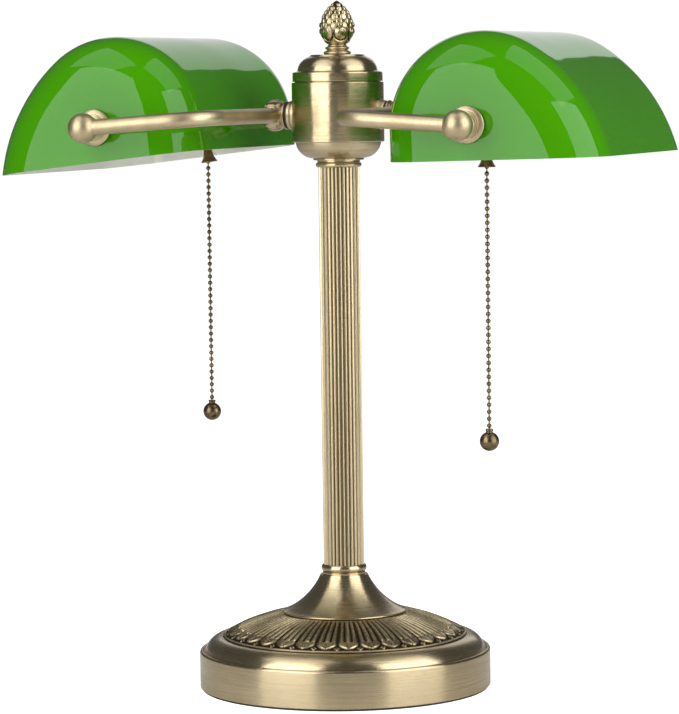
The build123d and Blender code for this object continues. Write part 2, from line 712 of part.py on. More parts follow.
def build_socket(name, sign, lean):
    """Pull-chain socket on the shade's socket end: cap, shell, core and the chain's bell mouth."""
    plane = pivot_plane(sign, -1)
    outlet = chain_plane(sign, lean)
    cap_radius_out = socket_radius + socket_wall
    wall = socket_wall
    top = socket_end
    cap = turned([(nipple_radius, top), (cap_radius_out - 7, top), (cap_radius_out - 2.5, top - 2.2),
                  (cap_radius_out - 0.5, top - 6), (cap_radius_out, top - 9), (cap_radius_out, top - 15),
                  (socket_radius, top - 15), (socket_radius, top - 9.2),
                  (cap_radius_out - 0.5 - wall, top - 6.3), (cap_radius_out - 2.5 - wall, top - 2.8),
                  (cap_radius_out - 7.2, top - wall), (nipple_radius, top - wall)], plane)
    save(cap, f"{name}_socket_cap")
    with BuildPart() as shell:
        add(turned([(socket_radius - wall, top - 10), (socket_radius, top - 10),
                    (socket_radius, socket_mouth + 3), (socket_radius + 0.8, socket_mouth + 2),
                    (socket_radius + 0.8, socket_mouth), (socket_radius - wall, socket_mouth)], plane))
        add(ring(0, bell_throat_radius + bell_wall, socket_radius - 6, socket_radius + 3, outlet),
            mode=Mode.SUBTRACT)
    save(shell.part, f"{name}_socket_shell")
    core_radius = socket_radius - wall - core_play
    screw_bore = bulb_screw_radius + 0.4
    screw_end = socket_mouth + 1.0 + bulb_screw_length + 3.5
    with BuildPart() as core:
        add(turned([(screw_bore, socket_mouth + 2), (core_radius, socket_mouth + 2),
                    (core_radius, top - 11), (core_radius - 3, top - 11), (core_radius - 5, top - 8.8),
                    (0, top - 8.8), (0, screw_end), (screw_bore, screw_end)], plane))
        add(ring(0, bell_throat_radius + bell_wall, eye_drop - 7, socket_radius + 3, outlet),
            mode=Mode.SUBTRACT)
    save(core.part, f"{name}_socket_core")
    throat = bell_throat_radius
    mouth = bell_mouth_radius
    seat = socket_radius
    bell = turned([(throat, seat - 2.2), (throat + bell_wall, seat - 2.2), (throat + bell_wall, seat),
                   (throat + 2.2, seat), (throat + 2.2, seat + 1.0), (throat + bell_wall, seat + 1.4),
                   (throat + bell_wall, bell_mouth_drop - 8), (mouth - 2.0, bell_mouth_drop - 4),
                   (mouth - 0.6, bell_mouth_drop - 1.2), (mouth, bell_mouth_drop),
                   (mouth - 0.8, bell_mouth_drop), (mouth - 1.4, bell_mouth_drop - 1.2),
                   (mouth - 2.8, bell_mouth_drop - 4), (throat, bell_mouth_drop - 8)], outlet)
    save(bell, f"{name}_chain_bell")


def build_bulb(name, sign):
    """Tubular bulb with its screw base, seated in the socket."""
    plane = pivot_plane(sign, -1)
    neck = socket_mouth + 1.0
    tip = neck - bulb_length
    wall = 1.0
    with BuildPart() as glass:
        for inset in (0, wall):
            waist = bulb_screw_radius - 0.5 - inset
            body = bulb_radius - inset
            with BuildSketch(plane):
                with BuildLine():
                    Polyline((0, neck), (waist, neck), (waist, neck - 6))
                    ThreePointArc((waist, neck - 6), ((waist + body) / 2 + 0.6, neck - 12), (body, neck - 19))
                    Line((body, neck - 19), (body, tip + bulb_radius))
                    ThreePointArc((body, tip + bulb_radius),
                                  (body * cos(radians(45)), tip + bulb_radius - body * sin(radians(45))),
                                  (0, tip + inset))
                    Line((0, tip + inset), (0, neck))
                make_face()
            revolve(axis=Axis(plane.origin, plane.y_dir), mode=Mode.SUBTRACT if inset else Mode.ADD)
    save(glass.part, f"{name}_bulb")
    end = neck + bulb_screw_length
    base = turned([(bulb_screw_radius - wall, neck), (bulb_screw_radius, neck),
                   (bulb_screw_radius, end - 4), (8, end), (4.5, end + 0.4), (4.5, end + 2), (0, end + 2),
                   (0, end - wall), (7, end - wall), (bulb_screw_radius - wall, end - 4.5)], plane)
    save(base, f"{name}_bulb_base")


def bead_outline(first, count, start, end):
    """Half outline of beads on a wire, down an axis from start to end; first is the first bead's place."""
    reach = sqrt(bead_radius**2 - link_radius**2)
    with BuildLine() as outline:
        here = (link_radius, start)
        Line((0, start), here)
        for bead in range(count):
            middle = first + bead * bead_pitch
            Line(here, (link_radius, middle - reach))
            ThreePointArc((link_radius, middle - reach), (bead_radius, middle), (link_radius, middle + reach))
            here = (link_radius, middle + reach)
        Polyline(here, (link_radius, end), (0, end), (0, start))
    return outline.line


def build_chain(name, sign, lean):
    """Switch eye with its beads inside the bell, then the free bead chain and its ball pull."""
    outlet = chain_plane(sign, lean)
    with BuildPart() as eye:
        with BuildSketch(outlet):
            add(bead_outline(eye_drop, eye_bead_count, eye_drop - 4, swing_drop - 0.15))
            make_face()
        revolve(axis=Axis(outlet.origin, outlet.y_dir))
        add(ring(0, bell_throat_radius - 0.4, eye_drop - 5.5, eye_drop - 3.5, outlet))
    save(eye.part, f"{name}_chain_eye")
    hang = outlet.origin + outlet.y_dir * swing_drop
    plumb = Plane(origin=hang, x_dir=(0, 1, 0), z_dir=(-1, 0, 0))
    last = (chain_bead_count - 0.5) * bead_pitch
    with BuildPart() as chain:
        with BuildSketch(plumb):
            add(bead_outline(bead_pitch / 2, chain_bead_count, 0.15, last + bead_radius - 0.2))
            make_face()
        revolve(axis=Axis(plumb.origin, plumb.y_dir))
    save(chain.part, f"{name}_bead_chain")
    grip = bead_radius + 0.05
    centre = last + grip + 2.2 + pull_radius
    neck = sqrt(pull_radius**2 - 2.4**2)
    with BuildPart() as pull:
        with BuildSketch(plumb):
            with BuildLine():
                Polyline((grip, last + grip + 0.1), (grip, last - 0.6), (grip + 0.6, last - 0.6),
                         (grip + 0.9, last + 1.2), (2.4, centre - neck))
                ThreePointArc((2.4, centre - neck), (pull_radius, centre), (0, centre + pull_radius))
                Polyline((0, centre + pull_radius), (0, last + grip + 0.1), (grip, last + grip + 0.1))
            make_face()
        revolve(axis=Axis(plumb.origin, plumb.y_dir))
    save(pull.part, f"{name}_chain_pull")


for arm_name, arm_sign, arm_tilt, arm_lean in arms:
    build_stud(arm_name, arm_sign)
    build_cup(arm_name, arm_sign)
    arm_leg = build_yoke(arm_name, arm_sign)
    build_ball_fittings(arm_name, arm_sign, arm_leg)
    build_shade_hardware(arm_name, arm_sign)
    build_shade(arm_name, arm_sign, arm_tilt)
    build_socket(arm_name, arm_sign, arm_lean)
    build_bulb(arm_name, arm_sign)
    build_chain(arm_name, arm_sign, arm_lean)
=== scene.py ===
import json
from math import atan2, cos, pi, radians, sin

import bpy
import bmesh
import numpy as np
from mathutils import Matrix, Vector


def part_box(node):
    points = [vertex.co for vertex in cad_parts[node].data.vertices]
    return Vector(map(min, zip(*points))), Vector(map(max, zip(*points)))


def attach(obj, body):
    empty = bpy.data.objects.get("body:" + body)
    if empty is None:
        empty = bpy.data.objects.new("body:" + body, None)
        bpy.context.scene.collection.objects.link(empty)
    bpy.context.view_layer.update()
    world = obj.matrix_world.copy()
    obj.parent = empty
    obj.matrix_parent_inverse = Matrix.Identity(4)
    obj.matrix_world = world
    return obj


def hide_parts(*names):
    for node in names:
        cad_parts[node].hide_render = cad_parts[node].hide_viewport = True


bl_info = {
    "name": "Banker's desk lamp",
    "version": (1, 0, 0),
    "blender": (4, 5, 0),
    "location": "3D View > Sidebar > Desk lamp",
    "description": "Finished surfaces and studio for a desk lamp with two tilting glass shades",
    "category": "Add Mesh",
}

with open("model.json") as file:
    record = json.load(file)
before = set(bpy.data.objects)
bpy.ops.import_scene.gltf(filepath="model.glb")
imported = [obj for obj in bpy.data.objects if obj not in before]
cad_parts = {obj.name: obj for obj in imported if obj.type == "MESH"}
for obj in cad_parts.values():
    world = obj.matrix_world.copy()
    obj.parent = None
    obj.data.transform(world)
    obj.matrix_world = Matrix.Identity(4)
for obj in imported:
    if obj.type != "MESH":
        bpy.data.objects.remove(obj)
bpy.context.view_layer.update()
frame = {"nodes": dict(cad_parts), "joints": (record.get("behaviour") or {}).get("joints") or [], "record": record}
MM = 0.001
PIPE_HOLE = 5.4  # radius, in the pieces that the lamp pipe runs through
ARMS = (("left", -1), ("right", 1))
JOINTS = {joint["name"]: joint for joint in frame["joints"]}


# ------------------------------------------------------------------ sizes and colours
def length(name, description, millimetres):
    """A length property, given in millimetres and kept in metres."""
    return bpy.props.FloatProperty(name=name, description=description, default=millimetres * MM,
                                   min=0, precision=5, unit="LENGTH", subtype="DISTANCE")


def colour(name, description, red, green, blue):
    """A linear colour property."""
    return bpy.props.FloatVectorProperty(name=name, description=description, size=4, min=0, max=1,
                                         subtype="COLOR", default=(red, green, blue, 1))


class StandSizes(bpy.types.PropertyGroup):
    """Ornament of the base, the column and the hub."""
    segments: bpy.props.IntProperty(name="Segments", description="Steps around a turned piece",
                                    default=192, min=48)
    sheet: length("Sheet", "Wall of the spun shells", 1.2)
    leaves: bpy.props.IntProperty(name="Leaves", description="Leaves around the cast ring",
                                  default=32, min=8)
    leaf_relief: length("Leaf relief", "Height of the rods and leaf edges over the grooves", 1.5)
    flutes: bpy.props.IntProperty(name="Flutes", description="Flutes around the column",
                                  default=30, min=8)
    flute_radius: length("Flute radius", "Radius of each flute's round hollow", 1.0)
    finial_leaves: bpy.props.IntProperty(name="Finial leaves", description="Leaves around the finial's cup",
                                         default=6, min=3)
    finial_scales: bpy.props.IntProperty(name="Finial scales", description="Scales in the widest row",
                                         default=9, min=6)


class ArmSizes(bpy.types.PropertyGroup):
    """Yokes, cast cups, ball fittings and pull chains."""
    petals: bpy.props.IntProperty(name="Petals", description="Petals of the cast flower cup",
                                  default=8, min=4)
    tube_bend: length("Tube bend", "Bend radius of the yoke's two corners", 28)
    tube_radius: length("Tube radius", "Outside radius of the yoke's tube", 5.2)
    ball_radius: length("Ball radius", "Radius of the ball at each end of the yoke", 10)
    bead_radius: length("Bead radius", "Radius of the pull chain's beads", 1.6)
    bead_pitch: length("Bead pitch", "Distance between the pull chain's beads", 4.56)


class ShadeSizes(bpy.types.PropertyGroup):
    """Section of the glass shades, from the tilting axis."""
    glass_wall: length("Glass wall", "Thickness of the glass", 3)
    drop: length("Drop", "Tilting axis down to the rim", 22.9)
    hub_side: length("Hub side", "Tilting axis to the upright wall", 63)
    hub_side_radius: length("Hub side radius", "Arc from the upright wall to the crown", 62.9)
    outer_radius: length("Outer radius", "Long arc from the crown to the outer rim", 122)
    crown: length("Crown", "Tilting axis up to the crown", 60.3)
    blend_angle: bpy.props.FloatProperty(name="Blend angle", subtype="ANGLE", default=radians(56),
                                         description="Where the two arcs meet, above outward")
    end_round: length("End round", "Rounding between the wall and the end faces", 34)


class Finishes(bpy.types.PropertyGroup):
    """Colours of the finishes."""
    brass: colour("Brass", "Antique brass where it is bright", 0.64, 0.535, 0.345)
    tarnish: colour("Tarnish", "Antique brass where it has darkened", 0.28, 0.20, 0.10)
    # Oxidised brass and painted shade: cast and fluted brass blend to this colour in their hollows, where shade
    # falls; bronze uses it for its mottle
    oxide_and_shade: colour("Oxide", "Oxidised brass in recesses", 0.045, 0.034, 0.018)
    bronze: colour("Bronze", "Chains and pulls", 0.25, 0.185, 0.105)
    green: colour("Green glass", "Outer casing of the shades", 0.05, 0.28, 0.0)
    deep_green: colour("Deep green", "Green glass seen along its surface", 0.02, 0.12, 0.0)
    opal: colour("Opal glass", "White lining of the shades", 0.86, 0.88, 0.80)


class Studio(bpy.types.PropertyGroup):
    """Camera and lights."""
    azimuth: bpy.props.FloatProperty(name="Azimuth", description="Camera's turn around the lamp",
                                     subtype="ANGLE", default=radians(20.84))
    pitch: bpy.props.FloatProperty(name="Pitch", description="Camera's dip", subtype="ANGLE",
                                   default=radians(4.63))
    roll: bpy.props.FloatProperty(name="Roll", description="Camera's turn about its own line",
                                  subtype="ANGLE", default=radians(-0.76))
    distance: length("Distance", "Camera to the column, along the table", 2344.3)
    height: length("Height", "Camera above the table", 417.05)
    lens: bpy.props.FloatProperty(name="Lens", description="Focal length in millimetres on 36 mm",
                                  default=173.3)
    box_light: bpy.props.FloatProperty(name="Soft box", description="Radiance of the two front soft boxes",
                                       default=3.1)
    top_light: bpy.props.FloatProperty(name="Top box", description="Radiance of the two overhead soft boxes",
                                       default=1.45)
    back_light: bpy.props.FloatProperty(name="Back box", default=0.8,
                                        description="Radiance of the soft box behind the lamp")
    room_light: bpy.props.FloatProperty(name="Room", description="Radiance of the room's white walls",
                                        default=0.1)


def sizes(group):
    """A property group of the scene by its name."""
    return getattr(bpy.context.scene, "desk_lamp_" + group)


def box_mm(node):
    """Lowest and highest corners of a CAD node, in millimetres."""
    low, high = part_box(node)
    return np.array(low) / MM, np.array(high) / MM


# ------------------------------------------------------------------ outlines
def rounded(outline, radius, steps=4, closed=True):
    """Outline with its corners rounded: each corner c becomes (1-t)^2 a + 2t(1-t) c + t^2 b,
    where a and b lie on its two edges, at most radius away."""
    corners = np.array(outline, float)
    to_before = np.roll(corners, 1, 0) - corners
    to_after = np.roll(corners, -1, 0) - corners
    before = np.linalg.norm(to_before, axis=1, keepdims=True)
    after = np.linalg.norm(to_after, axis=1, keepdims=True)
    reach = np.minimum(radius, 0.45 * np.minimum(before, after))
    a = corners + to_before / before * reach
    b = corners + to_after / after * reach
    t = np.linspace(0, 1, steps)[None, :, None]
    blended = (1 - t) ** 2 * a[:, None] + 2 * t * (1 - t) * corners[:, None] + t ** 2 * b[:, None]
    if not closed:
        blended[0], blended[-1] = corners[0], corners[-1]
    return blended.reshape(-1, 2)


def arc(start, middle, end, count):
    """Circular arc through three points, as count points at even angles about its centre."""
    start, middle, end = (np.array(p, float) for p in (start, middle, end))
    rows = 2 * np.array([middle - start, end - start])
    centre = np.linalg.solve(rows, [middle @ middle - start @ start, end @ end - start @ start])
    first, last = (atan2(*(p - centre)[::-1]) for p in (start, end))
    half = atan2(*(middle - centre)[::-1])
    turn = (last - first) % (2 * pi)
    if (half - first) % (2 * pi) > turn:
        turn -= 2 * pi
    angle = first + np.linspace(0, turn, count)
    return centre + np.linalg.norm(start - centre) * np.stack([np.cos(angle), np.sin(angle)], 1)


def smooth_line(corners, count):
    """Curve through corner points: Catmull-Rom spans, 0.5 (2b + (c-a)t + ...), at even parameters."""
    p = np.array(corners, float)
    p = np.vstack([2 * p[0] - p[1], p, 2 * p[-1] - p[-2]])
    s = np.linspace(0, len(p) - 3 - 1e-9, count)
    i = s.astype(int)
    t = (s - i)[:, None]
    a, b, c, d = p[i], p[i + 1], p[i + 2], p[i + 3]
    return 0.5 * (2 * b + (c - a) * t + (2 * a - 5 * b + 4 * c - d) * t ** 2
                  + (3 * b - a - 3 * c + d) * t ** 3)


# ------------------------------------------------------------------ surfaces
class Axis:
    """Right-handed frame of a turned surface: origin, two radial directions and the axis."""

    def __init__(self, origin=(0, 0, 0), axis=(0, 0, 1), first=(1, 0, 0)):
        self.origin = np.array(origin, float)
        self.axis = np.array(axis, float)
        self.first = np.array(first, float)
        self.second = np.cross(self.axis, self.first)

    def place(self, radius, height, angle):
        """origin + radius (first cos angle + second sin angle) + axis height."""
        radial = np.cos(angle)[..., None] * self.first + np.sin(angle)[..., None] * self.second
        return self.origin + radius[..., None] * radial + height[..., None] * self.axis


def turned(outline, axis=None, segments=None, closed=True):
    """Surface of revolution: each (radius, height) of the outline carried round the axis.
    The outline runs anticlockwise with the radius to the right, so faces point outwards."""
    outline = np.array(outline, float)
    if closed:
        outline = np.vstack([outline, outline[:1]])
    angle = np.linspace(0, 2 * pi, (segments or sizes("stand").segments) + 1)
    radius = np.repeat(outline[:, :1], len(angle), 1)
    height = np.repeat(outline[:, 1:], len(angle), 1)
    return (axis or Axis()).place(radius, height, np.broadcast_to(angle, radius.shape))


def carried(section_radius, line, side, segments=32):
    """Tube: a circle of section_radius about each point of the line, in the plane of side and
    the normal to both side and the line's direction."""
    step = np.gradient(line, axis=0)
    step /= np.linalg.norm(step, axis=1, keepdims=True)
    across = np.cross(step, side)
    across /= np.linalg.norm(across, axis=1, keepdims=True)
    lift = np.cross(across, step)
    angle = np.linspace(0, 2 * pi, segments + 1)
    ring = np.cos(angle)[None, :, None] * across[:, None] + np.sin(angle)[None, :, None] * lift[:, None]
    return line[:, None] + np.asarray(section_radius).reshape(-1, 1, 1) * ring


def piece(name, surfaces, body, node, slot, turn=1, crease=32, recess=None, materials=None):
    """One object in place of a CAD node, from surface grids: rows x columns x 3 in millimetres, each
    grid one quad per cell.  turn -1 turns the left-hand arm's pieces half a turn about the column.
    Doubled points at seams and poles are merged.  recess is a value per point, 0 proud to 1 deep, for
    the dark of hollows: oxidised brass with painted shade.  materials has one entry per grid, the last for the
    rest, if it isn't the slot's finish."""
    materials = materials or [finish_of(slot)]
    points, quads, uvs, slots, start = [], [], [], [], 0
    for number, grid in enumerate(surfaces):
        rows, columns = grid.shape[:2]
        index = start + np.arange(rows * columns).reshape(rows, columns)
        cells = [index[:-1, :-1], index[:-1, 1:], index[1:, 1:], index[1:, :-1]]
        quads.append(np.stack(cells, -1).reshape(-1, 4))
        u, v = np.meshgrid(np.linspace(0, 1, columns), np.linspace(0, 1, rows))
        uvs.append(np.stack([u, v], -1).reshape(-1, 2))
        slots.append(np.full(len(quads[-1]), min(number, len(materials) - 1)))
        points.append(grid.reshape(-1, 3))
        start += rows * columns
    points = np.concatenate(points) * np.array([turn, turn, 1]) * MM
    quads, uvs, slots = np.concatenate(quads), np.concatenate(uvs), np.concatenate(slots)
    mesh = bpy.data.meshes.new(name)
    mesh.from_pydata(points.tolist(), [], quads.tolist())
    mesh.polygons.foreach_set("material_index", slots.astype(np.int32))
    layer = mesh.uv_layers.new(name="UVMap")
    layer.data.foreach_set("uv", uvs[quads.reshape(-1)].astype(np.float32).reshape(-1))
    if recess is not None:
        depth = mesh.attributes.new("recess", "FLOAT", "POINT")
        depth.data.foreach_set("value", np.concatenate([r.reshape(-1) for r in recess]).astype(np.float32))
    welded = bmesh.new()
    welded.from_mesh(mesh)
    bmesh.ops.remove_doubles(welded, verts=welded.verts, dist=1e-6)
    welded.to_mesh(mesh)
    welded.free()
    mesh.shade_smooth()
    mesh.set_sharp_from_angle(angle=radians(crease))
    shown = bpy.data.objects.new(name, mesh)
    bpy.context.scene.collection.objects.link(shown)
    for finish in materials:
        mesh.materials.append(finish)
    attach(shown, body)
    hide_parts(node)


# ------------------------------------------------------------------ shader helpers
def put(tree, kind, inputs=None, **settings):
    """A shader node with its settings, and its inputs set to values or linked to sockets."""
    node = tree.nodes.new("ShaderNode" + kind)
    for key, value in settings.items():
        setattr(node, key, value)
    for key, value in (inputs or {}).items():
        if isinstance(value, bpy.types.NodeSocket):
            tree.links.new(value, node.inputs[key])
        else:
            node.inputs[key].default_value = value
    return node


def calc(tree, operation, *values):
    """Output of a Math node."""
    return put(tree, "Math", dict(enumerate(values)), operation=operation).outputs[0]


def blend_colour(tree, amount, first, second):
    """Colour that goes from first to second with amount."""
    return put(tree, "Mix", {0: amount, 6: first, 7: second}, data_type="RGBA").outputs[2]


def spread(tree, value, low, high, to_low=0.0, to_high=1.0):
    """Value mapped from low..high to to_low..to_high, and clamped."""
    return put(tree, "MapRange", {0: value, 1: low, 2: high, 3: to_low, 4: to_high}).outputs[0]


def noise(tree, vector, scale, detail=2.0, rough=0.5):
    """Noise value on a vector."""
    return put(tree, "TexNoise", {"Vector": vector, "Scale": scale, "Detail": detail,
                                  "Roughness": rough}).outputs[0]


def group(name, inputs, outputs, build):
    """A shader node group made once: named sockets, then build(tree, inputs) gives the outputs."""
    found = bpy.data.node_groups.get(name)
    if found:
        return found
    tree = bpy.data.node_groups.new(name, "ShaderNodeTree")
    for key, default in inputs.items():
        kind = "NodeSocketColor" if isinstance(default, tuple) else "NodeSocketFloat"
        tree.interface.new_socket(key, in_out="INPUT", socket_type=kind).default_value = default
    for key, kind in outputs.items():
        tree.interface.new_socket(key, in_out="OUTPUT", socket_type=kind)
    source, sink = tree.nodes.new("NodeGroupInput"), tree.nodes.new("NodeGroupOutput")
    for key, value in build(tree, source.outputs).items():
        tree.links.new(value, sink.inputs[key])
    return tree


def use(tree, made, **values):
    """Outputs of a group placed in a material with its own values; _ in a name stands for a space."""
    node = tree.nodes.new("ShaderNodeGroup")
    node.node_tree = made
    for key, value in values.items():
        socket = node.inputs[key.replace("_", " ")]
        if isinstance(value, bpy.types.NodeSocket):
            tree.links.new(value, socket)
        else:
            socket.default_value = value
    return node.outputs


def turned_brushing():
    """Group: fine streaks round the column's axis, a noise of radius and height that changes
    slowly with x and y."""
    def build(tree, given):
        place = put(tree, "TexCoord").outputs["Object"]
        axes = put(tree, "SeparateXYZ", {0: place}).outputs
        flat = put(tree, "CombineXYZ", {0: axes[0], 1: axes[1]}).outputs[0]
        radius = put(tree, "VectorMath", {0: flat}, operation="LENGTH").outputs["Value"]
        across = put(tree, "CombineXYZ", {
            0: calc(tree, "MULTIPLY", radius, given["Fineness"]),
            1: calc(tree, "MULTIPLY", axes[2], given["Fineness"]),
            2: calc(tree, "MULTIPLY", axes[0], given["Length"])}).outputs[0]
        slow = calc(tree, "MULTIPLY", axes[1], given["Length"])
        streak = put(tree, "TexNoise", {"Vector": across, "W": slow, "Scale": 1.0, "Detail": 3.0,
                                        "Roughness": 0.65}, noise_dimensions="4D").outputs[0]
        return {"Streak": spread(tree, streak, 0.3, 0.7)}
    return group("Turned brushing", {"Fineness": 900.0, "Length": 30.0},
                 {"Streak": "NodeSocketFloat"}, build)


def patina():
    """Group: slow clouds and fine specks of tarnish over a bright metal."""
    def build(tree, given):
        place = put(tree, "TexCoord").outputs["Object"]
        clouds = spread(tree, noise(tree, place, given["Scale"], 4.0, 0.6), 0.35, 0.75)
        finer = calc(tree, "MULTIPLY", given["Scale"], 30.0)
        specks = spread(tree, noise(tree, place, finer, 2.0), 0.55, 0.8)
        mask = calc(tree, "MULTIPLY", calc(tree, "ADD", clouds, calc(tree, "MULTIPLY", specks, 0.5)),
                    given["Amount"])
        mask = calc(tree, "MINIMUM", mask, 1.0)
        return {"Colour": blend_colour(tree, mask, given["Bright"], given["Dark"]), "Mask": mask}
    return group("Antique patina", {"Bright": (0.5, 0.5, 0.5, 1.0), "Dark": (0.1, 0.1, 0.1, 1.0),
                                    "Scale": 30.0, "Amount": 0.5},
                 {"Colour": "NodeSocketColor", "Mask": "NodeSocketFloat"}, build)


def fine_grain():
    """Group: a small even grain, for the height of a bump and for roughness."""
    def build(tree, given):
        place = put(tree, "TexCoord").outputs["Object"]
        grain = noise(tree, place, given["Scale"], 3.0, 0.6)
        return {"Grain": spread(tree, grain, 0.3, 0.7)}
    return group("Fine grain", {"Scale": 800.0}, {"Grain": "NodeSocketFloat"}, build)


def material(name, build):
    """A material made once: build(tree, shader) sets the Principled shader."""
    found = bpy.data.materials.get(name)
    if found:
        return found
    made = bpy.data.materials.new(name)
    made.use_nodes = True
    build(made.node_tree, made.node_tree.nodes["Principled BSDF"])
    return made


def connect(tree, shader, values):
    """Shader inputs set to values or linked to sockets, by name."""
    for key, value in values.items():
        if isinstance(value, bpy.types.NodeSocket):
            tree.links.new(value, shader.inputs[key])
        else:
            shader.inputs[key].default_value = value


def bump(tree, height, strength, distance):
    """Normal from a height."""
    return put(tree, "Bump", {"Height": height, "Strength": strength, "Distance": distance}).outputs[0]


# ------------------------------------------------------------------ finishes
def brushed_brass():
    """Antique brass, brushed round the axis: highlights spread up and down, not round."""
    def build(tree, shader):
        finish = sizes("finishes")
        streak = use(tree, turned_brushing(), Fineness=1100.0, Length=14.0)["Streak"]
        worn = use(tree, patina(), Bright=finish.brass, Dark=finish.tarnish, Scale=14.0, Amount=0.35)
        toned = blend_colour(tree, calc(tree, "MULTIPLY", streak, 0.32), worn["Colour"], finish.tarnish)
        connect(tree, shader, {
            "Base Color": toned, "Metallic": 1.0, "Roughness": spread(tree, streak, 0, 1, 0.2, 0.3),
            "Anisotropic": 0.9, "Anisotropic Rotation": 0.25,
            "Tangent": put(tree, "Tangent", direction_type="UV_MAP", uv_map="UVMap").outputs[0],
            "Normal": bump(tree, streak, 0.12, 0.0002)})
    return material("Brushed brass", build)


def satin_brass():
    """Antique brass with an even satin polish."""
    def build(tree, shader):
        finish = sizes("finishes")
        worn = use(tree, patina(), Bright=finish.brass, Dark=finish.tarnish, Scale=28.0, Amount=0.65)
        grain = use(tree, fine_grain(), Scale=1500.0)["Grain"]
        connect(tree, shader, {
            "Base Color": worn["Colour"], "Metallic": 1.0,
            "Roughness": calc(tree, "ADD", spread(tree, grain, 0, 1, 0.33, 0.42),
                              calc(tree, "MULTIPLY", worn["Mask"], 0.1)),
            "Normal": bump(tree, grain, 0.08, 0.0001)})
    return material("Satin brass", build)


def cast_brass():
    """Cast antique brass: bright where hands and cloths reach, darkened in the recesses with oxidised brass and
    painted shade.
    """
    def build(tree, shader):
        finish = sizes("finishes")
        worn = use(tree, patina(), Bright=finish.brass, Dark=finish.tarnish, Scale=60.0, Amount=0.75)
        grain = use(tree, fine_grain(), Scale=900.0)["Grain"]
        depth = put(tree, "Attribute", attribute_name="recess", attribute_type="GEOMETRY").outputs["Fac"]
        deep = spread(tree, calc(tree, "ADD", depth, calc(tree, "MULTIPLY", grain, 0.15)), 0.25, 0.95)
        connect(tree, shader, {
            "Base Color": blend_colour(tree, deep, worn["Colour"], finish.oxide_and_shade), "Metallic": 1.0,
            "Roughness": calc(tree, "ADD", spread(tree, deep, 0, 1, 0.24, 0.5),
                              calc(tree, "MULTIPLY", grain, 0.08)),
            "Normal": bump(tree, grain, 0.25, 0.00015)})
    return material("Cast brass", build)


def fluted_brass():
    """Antique brass drawn into flutes: satin on the lands, darkened at the bottom of the flutes with oxidised
    brass and painted shade.
    """
    def build(tree, shader):
        finish = sizes("finishes")
        worn = use(tree, patina(), Bright=finish.brass, Dark=finish.tarnish, Scale=12.0, Amount=0.12)
        grain = use(tree, fine_grain(), Scale=900.0)["Grain"]
        depth = put(tree, "Attribute", attribute_name="recess", attribute_type="GEOMETRY").outputs["Fac"]
        deep = spread(tree, calc(tree, "ADD", depth, calc(tree, "MULTIPLY", grain, 0.02)), 0.3, 0.9)
        connect(tree, shader, {
            "Base Color": blend_colour(tree, deep, worn["Colour"], finish.oxide_and_shade), "Metallic": 1.0,
            "Roughness": spread(tree, deep, 0, 1, 0.22, 0.4), "Normal": bump(tree, grain, 0.02, 0.0001)})
    return material("Fluted brass", build)


def bronze():
    """Dark bronze with mottled brown."""
    def build(tree, shader):
        finish = sizes("finishes")
        worn = use(tree, patina(), Bright=finish.bronze, Dark=finish.oxide_and_shade, Scale=160.0, Amount=0.8)
        grain = use(tree, fine_grain(), Scale=1200.0)["Grain"]
        connect(tree, shader, {
            "Base Color": worn["Colour"], "Metallic": 1.0,
            "Roughness": spread(tree, worn["Mask"], 0, 1, 0.2, 0.42),
            "Normal": bump(tree, grain, 0.15, 0.0001)})
    return material("Bronze", build)


def green_glass():
    """Cased green glass, glossy, darker where it is seen along its surface, with faint ripples."""
    def build(tree, shader):
        finish = sizes("finishes")
        place = put(tree, "TexCoord").outputs["Object"]
        ripple = noise(tree, place, 11.0, 1.0)
        cloud = spread(tree, noise(tree, place, 7.0, 2.0), 0.3, 0.7, 0.0, 0.12)
        along = put(tree, "LayerWeight", {"Blend": 0.32}).outputs["Facing"]
        edge = calc(tree, "ADD", calc(tree, "MULTIPLY", calc(tree, "POWER", along, 2.2), 0.95), cloud)
        grain = use(tree, fine_grain(), Scale=500.0)["Grain"]
        connect(tree, shader, {
            "Base Color": blend_colour(tree, edge, finish.green, finish.deep_green), "Metallic": 0.0,
            "Roughness": spread(tree, grain, 0, 1, 0.03, 0.06), "IOR": 1.4,
            "Normal": bump(tree, ripple, 0.25, 0.004)})
    return material("Green glass", build)


def opal_glass():
    """White lining of the shades, slightly milky."""
    def build(tree, shader):
        finish = sizes("finishes")
        worn = use(tree, patina(), Bright=finish.opal, Dark=(0.72, 0.74, 0.62, 1.0), Scale=9.0, Amount=0.4)
        connect(tree, shader, {
            "Base Color": worn["Colour"], "Roughness": spread(tree, worn["Mask"], 0, 1, 0.12, 0.2),
            "IOR": 1.5, "Subsurface Weight": 0.2, "Subsurface Radius": (0.004, 0.004, 0.003)})
    return material("Opal glass", build)


def plain(name, bright, dark, roughness, scale, grain_scale, strength, metallic=0.0, **more):
    """A mottled, grained finish for small hardware: clouds of scale, grain of grain_scale whose bump
    has the given strength, and roughness from its low to its high value with the grain."""
    def build(tree, shader):
        worn = use(tree, patina(), Bright=(*bright, 1.0), Dark=(*dark, 1.0), Scale=scale, Amount=0.7)
        grain = use(tree, fine_grain(), Scale=grain_scale)["Grain"]
        connect(tree, shader, {
            "Base Color": worn["Colour"], "Metallic": metallic,
            "Roughness": spread(tree, grain, 0, 1, *roughness),
            "Normal": bump(tree, grain, strength, 0.0002), **more})
    return material(name, build)


